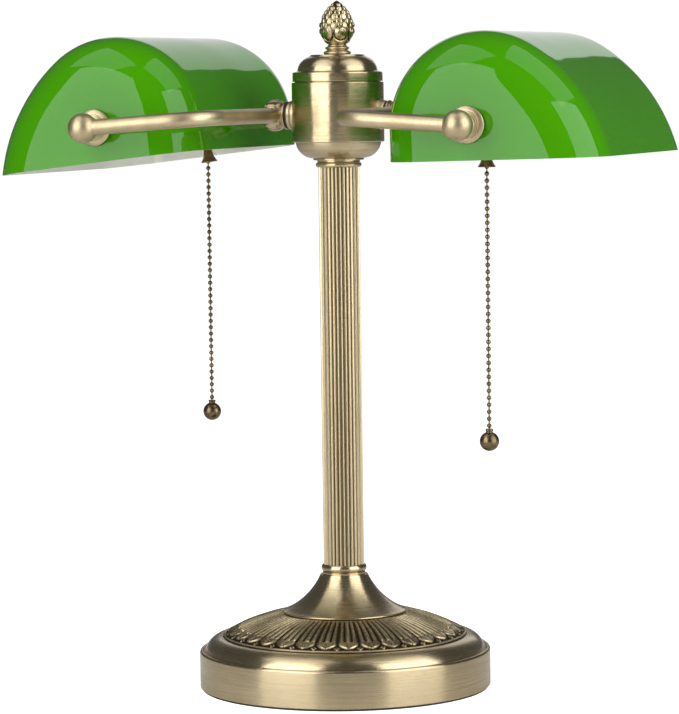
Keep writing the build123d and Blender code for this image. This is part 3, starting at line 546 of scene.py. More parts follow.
def finish_of(slot):
    """The finish of a slot of the record."""
    return {
        "brushed_brass": brushed_brass,
        "polished_brass": satin_brass,
        "cast_brass": cast_brass,
        "bronze": bronze,
        "green_glass": green_glass,
        "bulb_metal": lambda: plain("Bulb cap metal", (0.78, 0.78, 0.79), (0.5, 0.5, 0.5), (0.18, 0.3),
                                    90.0, 900.0, 0.1, metallic=1.0),
        "steel": lambda: plain("Zinc plated steel", (0.62, 0.62, 0.6), (0.4, 0.41, 0.42), (0.25, 0.42),
                               60.0, 1200.0, 0.2, metallic=1.0),
        "iron": lambda: plain("Black cast iron", (0.03, 0.03, 0.03), (0.012, 0.012, 0.012), (0.5, 0.75),
                              40.0, 500.0, 0.6, metallic=0.3),
        "black_rubber": lambda: plain("Black rubber", (0.022, 0.022, 0.022), (0.012, 0.012, 0.012),
                                      (0.55, 0.8), 50.0, 1400.0, 0.35),
        "phenolic": lambda: plain("Phenolic", (0.028, 0.02, 0.016), (0.012, 0.009, 0.008), (0.25, 0.4),
                                  80.0, 900.0, 0.15),
        "lead_sleeve": lambda: plain("Lead sleeve", (0.75, 0.74, 0.7), (0.55, 0.54, 0.5), (0.4, 0.55),
                                     70.0, 1000.0, 0.15),
        "bulb_glass": lambda: plain("Frosted bulb glass", (0.86, 0.86, 0.84), (0.78, 0.78, 0.76),
                                    (0.35, 0.45), 25.0, 2500.0, 0.1, **{"Subsurface Weight": 0.3}),
    }[slot]()


# ------------------------------------------------------------------ stand
def base_shell():
    """Spun base: plain skirt, a fine groove, a convex shoulder, and the flat cone under the ring."""
    wall = sizes("stand").sheet / MM
    low, high = box_mm("base_shell")
    ring_low, ring_high = box_mm("leaf_ring")
    foot = high[0]
    rim = ring_high[0] - 0.4
    skirt = 27.0
    rim_top = ring_low[2] - 0.6
    inner_foot = foot - wall
    shoulder = arc((foot - 3.6, skirt - 0.8), (rim + 8.4, rim_top - 2.6), (rim, rim_top), 18)
    outside = np.vstack([
        rounded([(foot - 0.3, low[2]), (foot, low[2] + 0.3), (foot, skirt - 1.2), (foot - 0.9, skirt),
                 (foot - 2.5, skirt), (foot - 2.9, skirt - 1.0), (foot - 3.6, skirt - 1.0)], 0.45, 5, False),
        shoulder])
    top = high[2]
    hole = 28.0
    inside = np.array([(hole, top), (hole, top - wall), (rim, rim_top - wall),
                       (rim + 7.6, rim_top - 2.6 - wall), (inner_foot - 3.0, skirt - 2.4),
                       (inner_foot, skirt - 3.0), (inner_foot, low[2])])
    piece("base_shell_spun", [turned(np.vstack([outside, inside]))], "stand", "base_shell", "brushed_brass")


def leaf_relief(angle, inward, radius, stand):
    """Height of the leaf ring's relief, 0 to 1, from the angle, the distance in from the rim and
    the radius there: rods, leaf edges round them, pointed blades with a crease, darts between tips
    and a rim bead; and how deep the surface lies, for the dark of its hollows: oxidised brass with painted shade."""
    pitch = 2 * pi / stand.leaves
    half = radius * pitch / 2
    side = (np.mod(angle / pitch + 0.5, 1.0) - 0.5) * 2 * half
    rod_end, tip, shoulder = 12.6, 3.6, 9.6

    def ridge(distance, width):
        return np.sqrt(np.clip(1 - (distance / width) ** 2, 0, 1))

    along = np.maximum(rod_end - inward, 0)
    rod = 0.95 * ridge(np.hypot(side, along), 0.24 * half)
    # leaf edge: a line at 0.66 of the half width that closes round the rod's end
    turn_in = np.clip((rod_end + 0.5 - inward) / 3.4, 0, 1)
    edge_place = 0.64 * half * np.sqrt(np.clip(1 - turn_in ** 2, 0, 1))
    edge = 0.9 * ridge(np.abs(side) - edge_place, 0.2 * half) * (turn_in < 1)
    # blade: outline narrows to the tip, surface falls from the crease to the outline
    taper = np.clip((inward - tip) / (shoulder - tip), 0, 1)
    outline = half * 0.93 * np.sin(taper * pi / 2) ** 0.8
    inside = np.clip(1 - np.abs(side) / np.maximum(outline, 0.05), 0, 1)
    blade = 0.82 * np.clip(inside * 4, 0, 1) ** 0.5 * (inward < rod_end - 1.2) * (inward > tip)
    blade *= 1 - 0.45 * np.exp(-(side / 0.45) ** 2)
    # darts: a middle bead and two smaller ones between neighbouring tips
    off = half - np.abs(side)
    dart = 0.75 * ridge(np.hypot(off, inward - 3.0), 1.05)
    dart = np.maximum(dart, 0.55 * ridge(np.hypot(off - 1.25, inward - 4.4), 0.75))
    dart = np.maximum(dart, 0.45 * ridge(np.hypot(off, (inward - 5.6) / 2.2), 0.5))
    bead = 0.8 * ridge(inward - 0.9, 0.9)
    height = np.max([rod, edge, blade, dart, bead], axis=0)
    height = np.where(inward > 0, height, 0)
    # the pattern fades into a plain band under the cone's foot
    end = np.clip((inward.max() - inward) / 2.0, 0, 1)
    height = height * end + 0.5 * (1 - end)
    return height, np.clip(1 - height * 1.35, 0, 1) * end


def leaf_ring():
    """Cast ring: a polar height field of leaves on a domed band, closed underneath."""
    stand = sizes("stand")
    low, high = box_mm("leaf_ring")
    cone_foot = box_mm("base_cone")[1][0]
    outer, seat = high[0], high[2]
    rim = low[2] + 0.6
    middle = ((outer - 0.4 + cone_foot) / 2, (rim + seat) / 2 + 1.9)
    dome = arc((outer, rim), middle, (cone_foot, seat), 74)
    run = np.concatenate([[0], np.cumsum(np.linalg.norm(np.diff(dome, axis=0), axis=1))])
    step = np.gradient(dome, axis=0)
    normal = np.stack([step[:, 1], -step[:, 0]], 1)
    normal /= np.linalg.norm(normal, axis=1, keepdims=True)
    angle = np.linspace(0, 2 * pi, stand.leaves * 36 + 1)
    turn, inward = np.meshgrid(angle, run)
    height, depth = leaf_relief(turn, inward, dome[:, :1] + 0 * turn, stand)
    lift = (height - 0.75) * stand.leaf_relief / MM
    radius = dome[:, :1] + normal[:, :1] * lift
    level = dome[:, 1:] + normal[:, 1:] * lift
    top = Axis().place(radius, level, turn)
    seat_in = cone_foot - 4.5
    under = np.array([(cone_foot - 2, seat - 0.7), (seat_in, seat - 0.7), (seat_in, seat - 4.0),
                      (outer - 1.2, low[2] - 0.6), (outer, low[2] - 0.6)])
    rest = Axis().place(under[:, :1] + 0 * turn[:5], under[:, 1:] + 0 * turn[:5], turn[:5])
    surface = np.concatenate([top, rest, top[:1]])
    # The underside is fully dark: painted shade under the ring, with oxidised brass
    recess = np.concatenate([depth, np.ones_like(turn[:5]), depth[:1]])
    piece("leaf_ring_cast", [surface], "stand", "leaf_ring", "cast_brass", crease=50, recess=[recess])


def cone():
    """Flared cone with a thin rolled foot."""
    low, high = box_mm("base_cone")
    foot, top = high[0], high[2]
    neck = box_mm("lower_collar")[1][0] + 0.7
    flare = arc((foot - 1.4, low[2] + 1.5), (neck + 8.6, (low[2] + top) / 2), (neck, top), 40)
    foot_roll = rounded([(foot - 2.2, low[2]), (foot - 0.4, low[2]), (foot, low[2] + 0.6),
                         (foot - 0.3, low[2] + 1.2), (foot - 1.4, low[2] + 1.5)], 0.4, 4, False)
    wall = sizes("stand").sheet / MM
    inside = np.vstack([[(PIPE_HOLE, top), (PIPE_HOLE, top - wall)], flare[::-1] - wall,
                        [(foot - 3.6, low[2])]])
    piece("base_cone_spun", [turned(np.vstack([foot_roll, flare, inside]))], "stand", "base_cone",
          "brushed_brass")


def collars():
    """Collars at the column's ends: a round bead beside the column and a narrower neck beyond it."""
    for node, side in (("lower_collar", 1), ("upper_collar", -1)):
        low, high = collar_heights(node, side)
        radius = box_mm(node)[1][0]
        beyond, beside = (low, high) if side > 0 else (high, low)
        waist = beyond + 0.26 * (beside - beyond)
        bead = arc((radius - 1.35, waist), (radius, (waist + beside) / 2), (radius - 1.35, beside), 20)
        outline = np.vstack([[(PIPE_HOLE, beyond), (radius - 1.0, beyond),
                              (radius - 1.0, waist - 0.4 * side)], bead, [(PIPE_HOLE, beside)]])
        piece(node + "_turned", [turned(outline[::side])], "stand", node, "brushed_brass")


def collar_heights(node, side):
    """A collar's lower and upper edge, without the spigot inside the column on its side."""
    low, high = box_mm(node)
    tube = box_mm("column_tube")
    return (low[2], tube[0][2]) if side > 0 else (tube[1][2], high[2])


def column():
    """Fluted column: the radius is the outer one less a round hollow of flute_radius at each flute,
    with softened lands between."""
    stand = sizes("stand")
    low, high = box_mm("column_tube")
    outer = high[0]
    hollow = stand.flute_radius / MM
    angle = np.linspace(0, 2 * pi, stand.flutes * 16 + 1)
    pitch = 2 * pi / stand.flutes
    side = (np.mod(angle / pitch + 0.5, 1) - 0.5) * pitch * outer
    depth = np.sqrt(np.clip(hollow ** 2 - side ** 2, 0, None))
    land = pitch * outer / 2
    crown = 0.3 * np.clip((np.abs(side) - hollow) / (land - hollow), 0, 1) ** 0.5
    radius = outer - 0.3 - depth * 0.95 + crown
    rows = np.array([low[2], low[2] + 0.4, *np.linspace(low[2] + 8, high[2] - 8, 12), high[2] - 0.4,
                     high[2]])
    turn, level = np.meshgrid(angle, rows)
    outside = Axis().place(radius[None] + 0 * turn, level, turn)
    bore = outer - 2.2
    inside = Axis().place(bore + 0 * turn[:2], level[[-1, 0]], turn[:2])
    surface = np.concatenate([outside, inside, outside[:1]])
    # Painted shade with oxidised brass: darkest at the bottom of each flute
    shade = np.clip(0.9 * (depth / hollow)[None] ** 2 * np.ones((len(rows), 1)), 0, 1)
    recess = np.concatenate([shade, shade[:2], shade[:1]])
    piece("column_fluted", [surface], "stand", "column_tube", "polished_brass", crease=60,
          recess=[recess], materials=[fluted_brass()])


def hub():
    """Hub: bowl, body, domed cap and the spool that carries the finial."""
    low, high = box_mm("hub_bowl")
    lip, rim, sheet = 17.2, high[0], sizes("stand").sheet / MM
    belly = (rim - 3.4, low[2] + 0.42 * (high[2] - low[2]))
    swell = arc((lip - 0.4, low[2] + 1.3), belly, (rim, high[2]), 26)
    outside = np.vstack([rounded([(6, low[2]), (lip, low[2]), (lip, low[2] + 1.2),
                                  (lip - 0.4, low[2] + 1.3)], 0.35, 4, False), swell])
    inside = np.vstack([[(rim - sheet, high[2])], swell[-2:1:-1] + (-sheet, sheet * 0.8),
                        [(6, low[2] + 2.4)]])
    piece("hub_bowl_spun", [turned(np.vstack([outside, inside]))], "stand", "hub_bowl", "brushed_brass")
    low, high = box_mm("hub_body")
    radius = high[0]
    outline = rounded([(radius - 4.5, low[2]), (radius, low[2]), (radius, high[2]), (radius - 1.5, high[2]),
                       (radius - 1.5, low[2] + 1.5), (radius - 4.5, low[2] + 1.5)], 0.9, 6)
    piece("hub_body_turned", [turned(outline)], "stand", "hub_body", "brushed_brass")
    top = box_mm("hub_cap")[1]
    band = top[0] - 1.35 if top[0] > radius else top[0]
    seam = high[2] + 0.4
    step, dome = seam + 6.6, band - 3.5
    shoulder = arc((dome, step + 1.8), (dome - 1.9, step + 6.2), (19.5, top[2] - 1.3), 26)
    outside = np.vstack([
        rounded([(band - 3, seam), (band, seam), (band, step - 0.6), (band - 0.8, step),
                 (dome + 0.3, step + 0.5), (dome, step + 1.8)], 0.5, 5, False), shoulder,
        rounded([(19.4, top[2] - 1.1), (18.6, top[2] - 1.0), (18.3, top[2] - 0.2), (17.9, top[2]),
                 (6, top[2])], 0.35, 4, False)])
    inside = np.array([(6, top[2] - 1.2), (17.6, top[2] - 1.4), (25.2, step + 6.0), (dome - 1.2, step),
                       (band - 1.5, step - 1.2), (band - 1.5, seam - 4), (band - 3, seam - 4)])
    piece("hub_cap_spun", [turned(np.vstack([outside, inside]))], "stand", "hub_cap", "brushed_brass")
    low, high = box_mm("finial_spool")
    wide, foot = high[0], low[2]
    outline = rounded([(PIPE_HOLE, foot), (wide - 0.5, foot), (wide, foot + 0.7), (wide, foot + 1.7),
                       (wide - 0.9, foot + 2.4), (wide - 2.2, foot + 2.8), (wide - 2.3, foot + 3.3),
                       (wide - 1.3, foot + 3.7), (wide - 1.1, foot + 4.5), (wide - 1.6, foot + 5.2),
                       (wide - 2.8, foot + 5.7), (wide - 3.1, high[2]), (PIPE_HOLE, high[2])], 0.5, 5)
    piece("finial_spool_turned", [turned(outline, segments=96)], "stand", "finial_spool", "polished_brass")


def scales(counts, rings, heights, widths, lean):
    """Rows of rounded, two-lobed scales about the column's axis.  A scale is half an ellipsoid: half
    width w, half height 1.15 w and depth 0.72 w, with a crease down its middle.  Its top leans in.
    Returns the grids and how far out each point is, as a share of w."""
    counts = counts.astype(int)
    angle = np.concatenate([(np.arange(n) + 0.5 * (k % 2)) * 2 * pi / n for k, n in enumerate(counts)])
    ring = np.repeat(rings, counts)[:, None, None]
    level = np.repeat(heights, counts)[:, None, None]
    wide = np.repeat(widths, counts)[:, None, None]
    tip = np.repeat(lean, counts)[:, None, None]
    turn, rise = np.meshgrid(np.linspace(-pi / 2, pi / 2, 9), np.linspace(-pi / 2, pi / 2, 9), indexing="ij")
    turn, rise = turn[None], rise[None]
    side = wide * np.cos(rise) * np.sin(turn)
    up = 1.15 * wide * np.sin(rise)
    out = 0.72 * wide * np.cos(rise) * np.cos(turn) * (1 - 0.3 * np.exp(-(side / (0.22 * wide)) ** 2))
    along = np.cos(tip) * up + np.sin(tip) * out
    away = np.cos(tip) * out - np.sin(tip) * up
    a = angle[:, None, None]
    radius = ring + away
    return np.stack([radius * np.cos(a) - side * np.sin(a), radius * np.sin(a) + side * np.cos(a),
                     level + along], -1), out / wide


def finial():
    """Finial: a cup of broad leaves between forked ribs, staggered rows of scales, knobs over the ribs
    and a bud on top.  A leaf is an ellipse about its middle: its distance e gives the leaf's swell
    sqrt(1 - e^2), a groove round it at e = 1.02 and a scroll in it at e = 0.45."""
    stand = sizes("stand")
    low, high = box_mm("finial")
    foot, top = low[2], high[2]
    core = smooth_line([(5.9, 0), (7.6, 1.4), (9.5, 4.2), (10.9, 7.6), (11.0, 10.2), (9.6, 13.2), (9.0, 17.0),
                        (7.7, 20.8), (5.8, 24.2), (3.6, 27.0), (1.6, 29.0), (0.0, 29.6)], 90)
    core[:, 0] = np.clip(core[:, 0], 0, None)
    angle = np.linspace(0, 2 * pi, 193)
    turn, level = np.meshgrid(angle, core[:, 1])
    radius = np.repeat(core[:, :1], len(angle), 1)
    pitch = 2 * pi / stand.finial_leaves
    first_rib, widest, middle, half_height, cup_top = radians(-82), 10.9, 8.4, 5.4, 13.4
    from_rib = np.abs((np.mod((turn - first_rib) / pitch + 0.5, 1) - 0.5) * pitch)
    across = (pitch / 2 - from_rib) * np.maximum(radius, 4) / (0.47 * pitch * widest)
    ring = np.sqrt(across ** 2 + ((level - middle) / half_height) ** 2)
    leaf = np.sqrt(np.clip(1.0 - ring ** 2, 0, 1))
    groove = np.exp(-((ring - 1.02) / 0.1) ** 2)
    scroll = np.exp(-((ring - 0.45) / 0.12) ** 2) * (level > 7.5)
    rib = np.clip((ring - 1.1) / 0.15, 0, 1)
    cup = np.clip(np.minimum((level - 0.3) / 1.5, (cup_top - level) / 1.2), 0, 1)
    relief = cup * (0.95 * leaf + 0.4 * scroll + 0.7 * rib - 0.35 * groove)
    radius = np.clip(radius + relief - 0.3 * cup, 0, None)
    body = Axis(origin=(0, 0, foot)).place(radius, level, turn)
    # Painted shade with oxidised brass: the core above the cup, between the scales, is darkest, and so are the
    # grooves round the leaves
    depth = np.where(level > 13, 1.0, np.clip(0.9 * groove + 0.35 * (1 - leaf) * (ring < 1), 0, 1))
    many = stand.finial_scales
    counts = np.array([many, many, many, many - 1, many - 2, many - 5])
    rows, out = scales(counts, np.array([9.6, 9.2, 8.5, 7.1, 5.3, 3.0]),
                       foot + np.array([12.2, 15.3, 18.3, 21.2, 24.0, 26.6]),
                       np.array([2.75, 2.7, 2.6, 2.4, 2.1, 1.7]), np.radians([0, 4, 10, 18, 28, 40]))
    knobs, knob_out = scales(*np.array([[stand.finial_leaves], [11.6], [foot + 13.2], [1.7], [0.0]]))
    bud_shape = smooth_line([(0.0, -1.5), (1.9, -0.4), (2.1, 1.0), (1.2, 2.3), (0.0, 2.9)], 14)
    bud = turned(bud_shape, Axis(origin=(0, 0, top - 3.0)), 24, False)
    grids = [body, bud, *rows, *knobs]
    # Scales and knobs darken towards their edges, where they tuck under: painted shade with oxidised brass
    recess = [depth, np.zeros(bud.shape[:2]), *np.clip(0.6 - 1.1 * out, 0, 1),
              *np.clip(0.6 - 1.1 * knob_out, 0, 1)]
    piece("finial_cast", grids, "stand", "finial", "cast_brass", crease=70, recess=recess)


# ------------------------------------------------------------------ arms
def arm_frame(name, sign):
    """Heights and places of an arm in its own frame, in millimetres: x outward, y along the shade."""
    stud = np.array(JOINTS[name + "_arm_swivel"]["pos_m"]) / MM
    pivot = np.array(JOINTS[name + "_shade_tilt"]["pos_m"]) / MM
    hang = np.array(JOINTS[name + "_chain_swing"]["pos_m"]) / MM
    draw = np.array(JOINTS[name + "_chain_draw"]["axis"], float)
    flip = np.array([sign, sign, 1])
    return stud * flip, pivot * flip, hang * flip, draw * flip


def tilt_axes(pivot):
    """Axes of the turned pieces on the tilting axis: socket end, then plain end."""
    origin = (pivot[0], 0, pivot[2])
    return Axis(origin, (0, -1, 0), (1, 0, 0)), Axis(origin, (0, 1, 0), (0, 0, 1))


def stud_collars():
    """Turned ring and disc between the hub and each friction washer."""
    for name, sign in ARMS:
        stud = arm_frame(name, sign)[0]
        axis = Axis((0, 0, stud[2]), (1, 0, 0), (0, 1, 0))
        washer = box_mm(name + "_friction_washer")
        face = washer[0][0] if sign > 0 else -washer[1][0]
        outline = rounded([(4.6, face - 6), (10.3, face - 6), (10.4, face - 3.8), (9.3, face - 3.2),
                           (9.2, face - 2.8), (9.75, face - 2.5), (9.75, face - 0.7), (9.1, face),
                           (4.6, face)],
                          0.45, 5)
        piece(name + "_stud_collar_turned", [turned(outline, axis, 96)], "stand", name + "_stud_collar",
              "polished_brass", sign)


def flower_cups():
    """Cast cups: a turned foot that opens into petals.  The petals' length and swell follow
    |cos(n angle / 2)|, and a rib runs down the middle of each."""
    arm = sizes("arm")
    for name, sign in ARMS:
        stud = arm_frame(name, sign)[0]
        low, high = box_mm(name + "_flower_cup")
        start = low[0] if sign > 0 else -high[0]
        axis = Axis((start, 0, stud[2]), (1, 0, 0), (0, 1, 0))
        foot = rounded([(4.7, 0), (9.6, 0), (9.75, 1.2), (8.1, 1.8), (7.7, 2.6), (8.8, 3.4)], 0.5, 5, False)
        swell = smooth_line([(8.8, 3.4), (10.1, 5.6), (10.6, 8.6), (10.3, 11.8), (9.4, 14.4),
                             (8.6, 15.4)], 26)
        back = smooth_line([(8.2, 15.2), (8.6, 12.0), (8.4, 8.5), (6.5, 5.0), (0.0, 4.6)], 16)
        outline = np.vstack([foot, swell, back])
        angle = np.linspace(0, 2 * pi, 24 * arm.petals + 1)
        turn, level = np.meshgrid(angle, outline[:, 1])
        radius = np.repeat(outline[:, :1], len(angle), 1)
        lobe = np.abs(np.cos(turn * arm.petals / 2))
        share = np.clip((level - 3.4) / 12.0, 0, 1)
        outer_side = (np.arange(len(outline)) < len(foot) + len(swell))[:, None]
        groove = np.exp(-((lobe / 0.3) ** 2)) * share ** 0.5
        rib = np.exp(-(((1 - lobe) / 0.05) ** 2)) * share
        vein = 0.12 * np.sin(level * 2.6 + 3 * lobe) * lobe * share
        radius = radius - np.where(outer_side, 1.5 * groove - 0.35 * rib - vein, 0)
        level = level - 3.6 * share ** 2 * np.exp(-((lobe / 0.42) ** 2))
        # Painted shade with oxidised brass: dark in the grooves between petals, inside the cup and on the face
        # against the hub, lighter on the ribs
        depth = np.where(outer_side, np.clip(0.25 + 0.85 * groove - 0.4 * rib - 2.2 * vein, 0, 1), 0.9)
        surface = axis.place(np.clip(radius, 0, None), level, turn)
        hub_face = turned([(0, 0), (4.7, 0)], axis, 24 * arm.petals, False)
        piece(name + "_flower_cup_cast", [surface, hub_face], name + "_arm", name + "_flower_cup",
              "cast_brass", sign, 60, [depth, np.full(hub_face.shape[:2], 0.8)])


def yokes():
    """U-shaped tubes.  The line goes in along one leg, round a bend, along the back run and out
    again: distance along it picks the straight or the arc, as whole arrays."""
    arm = sizes("arm")
    for name, sign in ARMS:
        stud, pivot, _, _ = arm_frame(name, sign)
        low, high = box_mm(name + "_yoke")
        bend, tube = arm.tube_bend / MM, arm.tube_radius / MM
        reach = high[1] - tube
        back = (low[0] if sign > 0 else -high[0]) + tube
        fall = atan2(stud[2] - pivot[2], pivot[0] - back)
        leg = (pivot[0] - back) / cos(fall)
        straight, corner, run = leg - bend, bend * pi / 2, reach - bend
        half_line = np.linspace(0, run + corner + straight - 2, 150)
        past = np.clip(half_line - run, 0, corner) / bend
        out = bend * (1 - np.cos(past)) + np.clip(half_line - run - corner, 0, None)
        along = np.clip(half_line, 0, run) + bend * np.sin(past)
        out, along = np.concatenate([out[:0:-1], out]), np.concatenate([-along[:0:-1], along])
        line = np.stack([back + out * cos(fall), along, stud[2] - out * sin(fall)], 1)
        surface = carried(tube, line, np.array([sin(fall), 0, cos(fall)]), 40)
        piece(name + "_yoke_tube", [surface], name + "_arm", name + "_yoke", "polished_brass", sign)


def ball_fittings():
    """Ball, ribbed neck and flange at each end of the yokes."""
    arm = sizes("arm")
    ball = arm.ball_radius / MM
    for name, sign in ARMS:
        _, pivot, _, _ = arm_frame(name, sign)
        far = box_mm(name + "_ball_fittings")[1][1]
        flange = box_mm(name + "_flanges")[1][1]
        centre = far - ball
        neck_start = centre - (ball ** 2 - 5.8 ** 2) ** 0.5
        wide = 12.0
        ribs = [(4.6, flange), (8.9, flange), (9.1, flange + 0.5), (8.9, flange + 1.1), (6.8, flange + 1.3),
                (6.7, flange + 1.8), (8.3, flange + 2.1), (8.4, flange + 2.7), (8.2, flange + 3.0),
                (6.7, flange + 3.3), (6.6, flange + 3.8), (7.4, flange + 4.1), (7.5, flange + 4.7),
                (7.2, flange + 5.0), (5.9, flange + 5.4), (5.8, neck_start)]
        quarter = np.linspace(-np.arccos(5.8 / ball), pi / 2, 30)
        round_end = np.stack([ball * np.cos(quarter), centre + ball * np.sin(quarter)], 1)
        round_end[-1, 0] = 0
        outline = np.vstack([[(0, flange)], rounded(ribs, 0.3, 4, False), round_end])
        plate = rounded([(4.6, flange - 2.4), (wide - 0.5, flange - 2.4), (wide, flange - 1.9),
                         (wide, flange - 1.3), (wide - 0.7, flange - 0.8), (wide - 2.2, flange - 0.1),
                         (wide - 3.0, flange), (4.6, flange)], 0.5, 5)
        ends = tilt_axes(pivot)
        fittings = [turned(outline, axis, 96, False) for axis in ends]
        piece(name + "_ball_fittings_turned", fittings, name + "_arm", name + "_ball_fittings",
              "polished_brass", sign, 40)
        piece(name + "_flanges_turned", [turned(plate, axis, 96) for axis in ends], name + "_arm",
              name + "_flanges", "polished_brass", sign)


# ------------------------------------------------------------------ shades
def shade_section(inset, share, shade):
    """Points of the shade's open section, inset from its outside: up the hub-side wall, over the
    small arc, over the long arc and down to the rim.  share 0..1 runs along it; each of the three
    stretches takes a fixed part of it, and the arcs keep their centres while their radii shrink."""
    drop, wall_x = shade.drop / MM, shade.hub_side / MM
    small, long = shade.hub_side_radius / MM, shade.outer_radius / MM
    small_x, small_z = small - wall_x, shade.crown / MM - small
    long_x = small_x - (long - small) * cos(shade.blend_angle)
    long_z = small_z - (long - small) * sin(shade.blend_angle)
    wall_end, small_end = 0.12, 0.56
    first = np.clip(share / wall_end, 0, 1)
    second = np.clip((share - wall_end) / (small_end - wall_end), 0, 1)
    third = np.clip((share - small_end) / (1 - small_end), 0, 1)
    turn = pi + (shade.blend_angle - pi) * second
    foot = np.arcsin((-drop - long_z) / (long - inset))
    far = shade.blend_angle + (foot - shade.blend_angle) * third
    x = np.where(share <= wall_end, inset - wall_x,
                 np.where(share <= small_end, small_x + (small - inset) * np.cos(turn),
                          long_x + (long - inset) * np.cos(far)))
    z = np.where(share <= wall_end, -drop + (small_z + drop) * first,
                 np.where(share <= small_end, small_z + (small - inset) * np.sin(turn),
                          long_z + (long - inset) * np.sin(far)))
    return x, z


def shade_sheet(half, wall, shade):
    """One skin of a shade, as a grid over its section and its length, wall inside the outer one.
    Along the length it is an end face drawn from the rim line to its outline, a quarter round of
    radius end_round - wall, the straight body, and the same again."""
    curve = shade.end_round / MM - wall
    reach = half - wall
    face_rows, round_rows, body_rows, columns = 12, 23, 14, 121
    quarter = np.linspace(0, pi / 2, round_rows)
    inset = np.concatenate([np.full(face_rows, curve), curve * (1 - np.sin(quarter)), np.zeros(body_rows)])
    along = np.concatenate([np.full(face_rows, -reach), -reach + curve * (1 - np.cos(quarter)),
                            np.linspace(curve - reach, 0, body_rows + 1)[1:]])
    fill = np.concatenate([np.linspace(0, 1, face_rows, endpoint=False), np.ones(round_rows + body_rows)])
    inset = np.concatenate([inset, inset[-2::-1]])
    along = np.concatenate([along, -along[-2::-1]])
    fill = np.concatenate([fill, fill[-2::-1]])
    share, inset = np.meshgrid(np.linspace(0, 1, columns), inset)
    along, fill = (np.repeat(v[:, None], columns, 1) for v in (along, fill))
    x, z = shade_section(inset + wall, share, shade)
    low_x = x[:, :1] + (x[:, -1:] - x[:, :1]) * share
    low_z = -shade.drop / MM
    return np.stack([low_x + (x - low_x) * fill, along, low_z + (z - low_z) * fill], -1)


def shades():
    """Cased glass shades: green outer skin, opal inner skin, and the ground rim between them, green
    over its outer part."""
    shade = sizes("shade")
    wall, green_share = shade.glass_wall / MM, 0.28
    for name, sign in ARMS:
        _, pivot, _, _ = arm_frame(name, sign)
        low, high = JOINTS[name + "_shade_tilt"]["range_deg"]
        tilt = -radians((low + high) / 2)
        half = box_mm(name + "_glass_shade")[1][1]
        outer, inner = shade_sheet(half, 0.0, shade), shade_sheet(half, wall, shade)
        edge, inner_edge = grid_border(outer), grid_border(inner)
        middle = edge * (1 - green_share) + inner_edge * green_share
        turned_out = np.array([(cos(tilt), 0, -sin(tilt)), (0, 1, 0), (sin(tilt), 0, cos(tilt))])
        skins = [outer, np.stack([edge, middle]), inner[:, ::-1], np.stack([middle, inner_edge])]
        grids = [np.array([pivot[0], 0, pivot[2]]) + grid @ turned_out for grid in skins]
        piece(name + "_shade_cased_glass", grids, name + "_shade", name + "_glass_shade", "green_glass",
              sign, 50, materials=[green_glass(), green_glass(), opal_glass()])


def grid_border(grid):
    """The closed border of a grid: along its first row, up its last column and back."""
    return np.concatenate([grid[0], grid[1:, -1], grid[-1, -2::-1], grid[-2::-1, 0]])


# ------------------------------------------------------------------ sockets, bulbs and chains
def sockets():
    """Turned brass caps and shells of the pull-chain sockets, and the chain's flared outlets."""
    for name, sign in ARMS:
        _, pivot, hang, draw = arm_frame(name, sign)
        axis = tilt_axes(pivot)[0]
        cap_low, top = np.sort(np.abs(np.array(box_mm(name + "_socket_cap"))[:, 1]))
        shell_low = np.abs(np.array(box_mm(name + "_socket_shell"))[:, 1]).min()
        radius = 16.5
        wide = radius + 0.8
        cap = np.vstack([
            rounded([(wide - 0.6, cap_low), (wide, cap_low + 0.4), (wide, top - 9), (wide - 0.5, top - 6),
                     (wide - 2.5, top - 2.2), (wide - 7, top), (4.6, top)], 1.2, 6, False),
            [(4.6, top - 0.8), (wide - 7.2, top - 0.8), (wide - 3.3, top - 2.8), (wide - 1.3, top - 6.3),
             (radius, top - 9.2), (radius, cap_low)]])
        piece(name + "_socket_cap_turned", [turned(cap, axis, 96)], name + "_arm", name + "_socket_cap",
              "polished_brass", sign)
        shell = rounded([(radius - 0.8, shell_low), (radius + 0.7, shell_low), (radius + 0.8, shell_low + 2),
                         (radius, shell_low + 3), (radius, cap_low + 1), (radius - 0.8, cap_low + 1)], 0.4, 4)
        piece(name + "_socket_shell_turned", [turned(shell, axis, 96)], name + "_arm",
              name + "_socket_shell", "polished_brass", sign)
        start = (pivot[2] - hang[2]) / -draw[2]
        outlet = Axis(hang - draw * start, draw, (0, 1, 0))
        bell = rounded([(2.4, 14.3), (3.0, 14.3), (3.0, 16.4), (4.6, 16.5), (4.6, 17.5), (3.1, 17.9),
                        (3.0, 20),
                        (3.8, 24), (5.2, 26.8), (5.8, 27.4), (5.8, 28), (5.0, 28), (4.4, 26.8), (3.0, 24),
                        (2.4, 20)], 0.4, 4)
        # The outlets take dark bronze in place of their slot's brass: painted shade, for they hang under the glass
        # in its shadow
        piece(name + "_chain_bell_turned", [turned(bell, outlet, 48)], name + "_arm",
              name + "_chain_bell", "polished_brass", sign, materials=[bronze()])


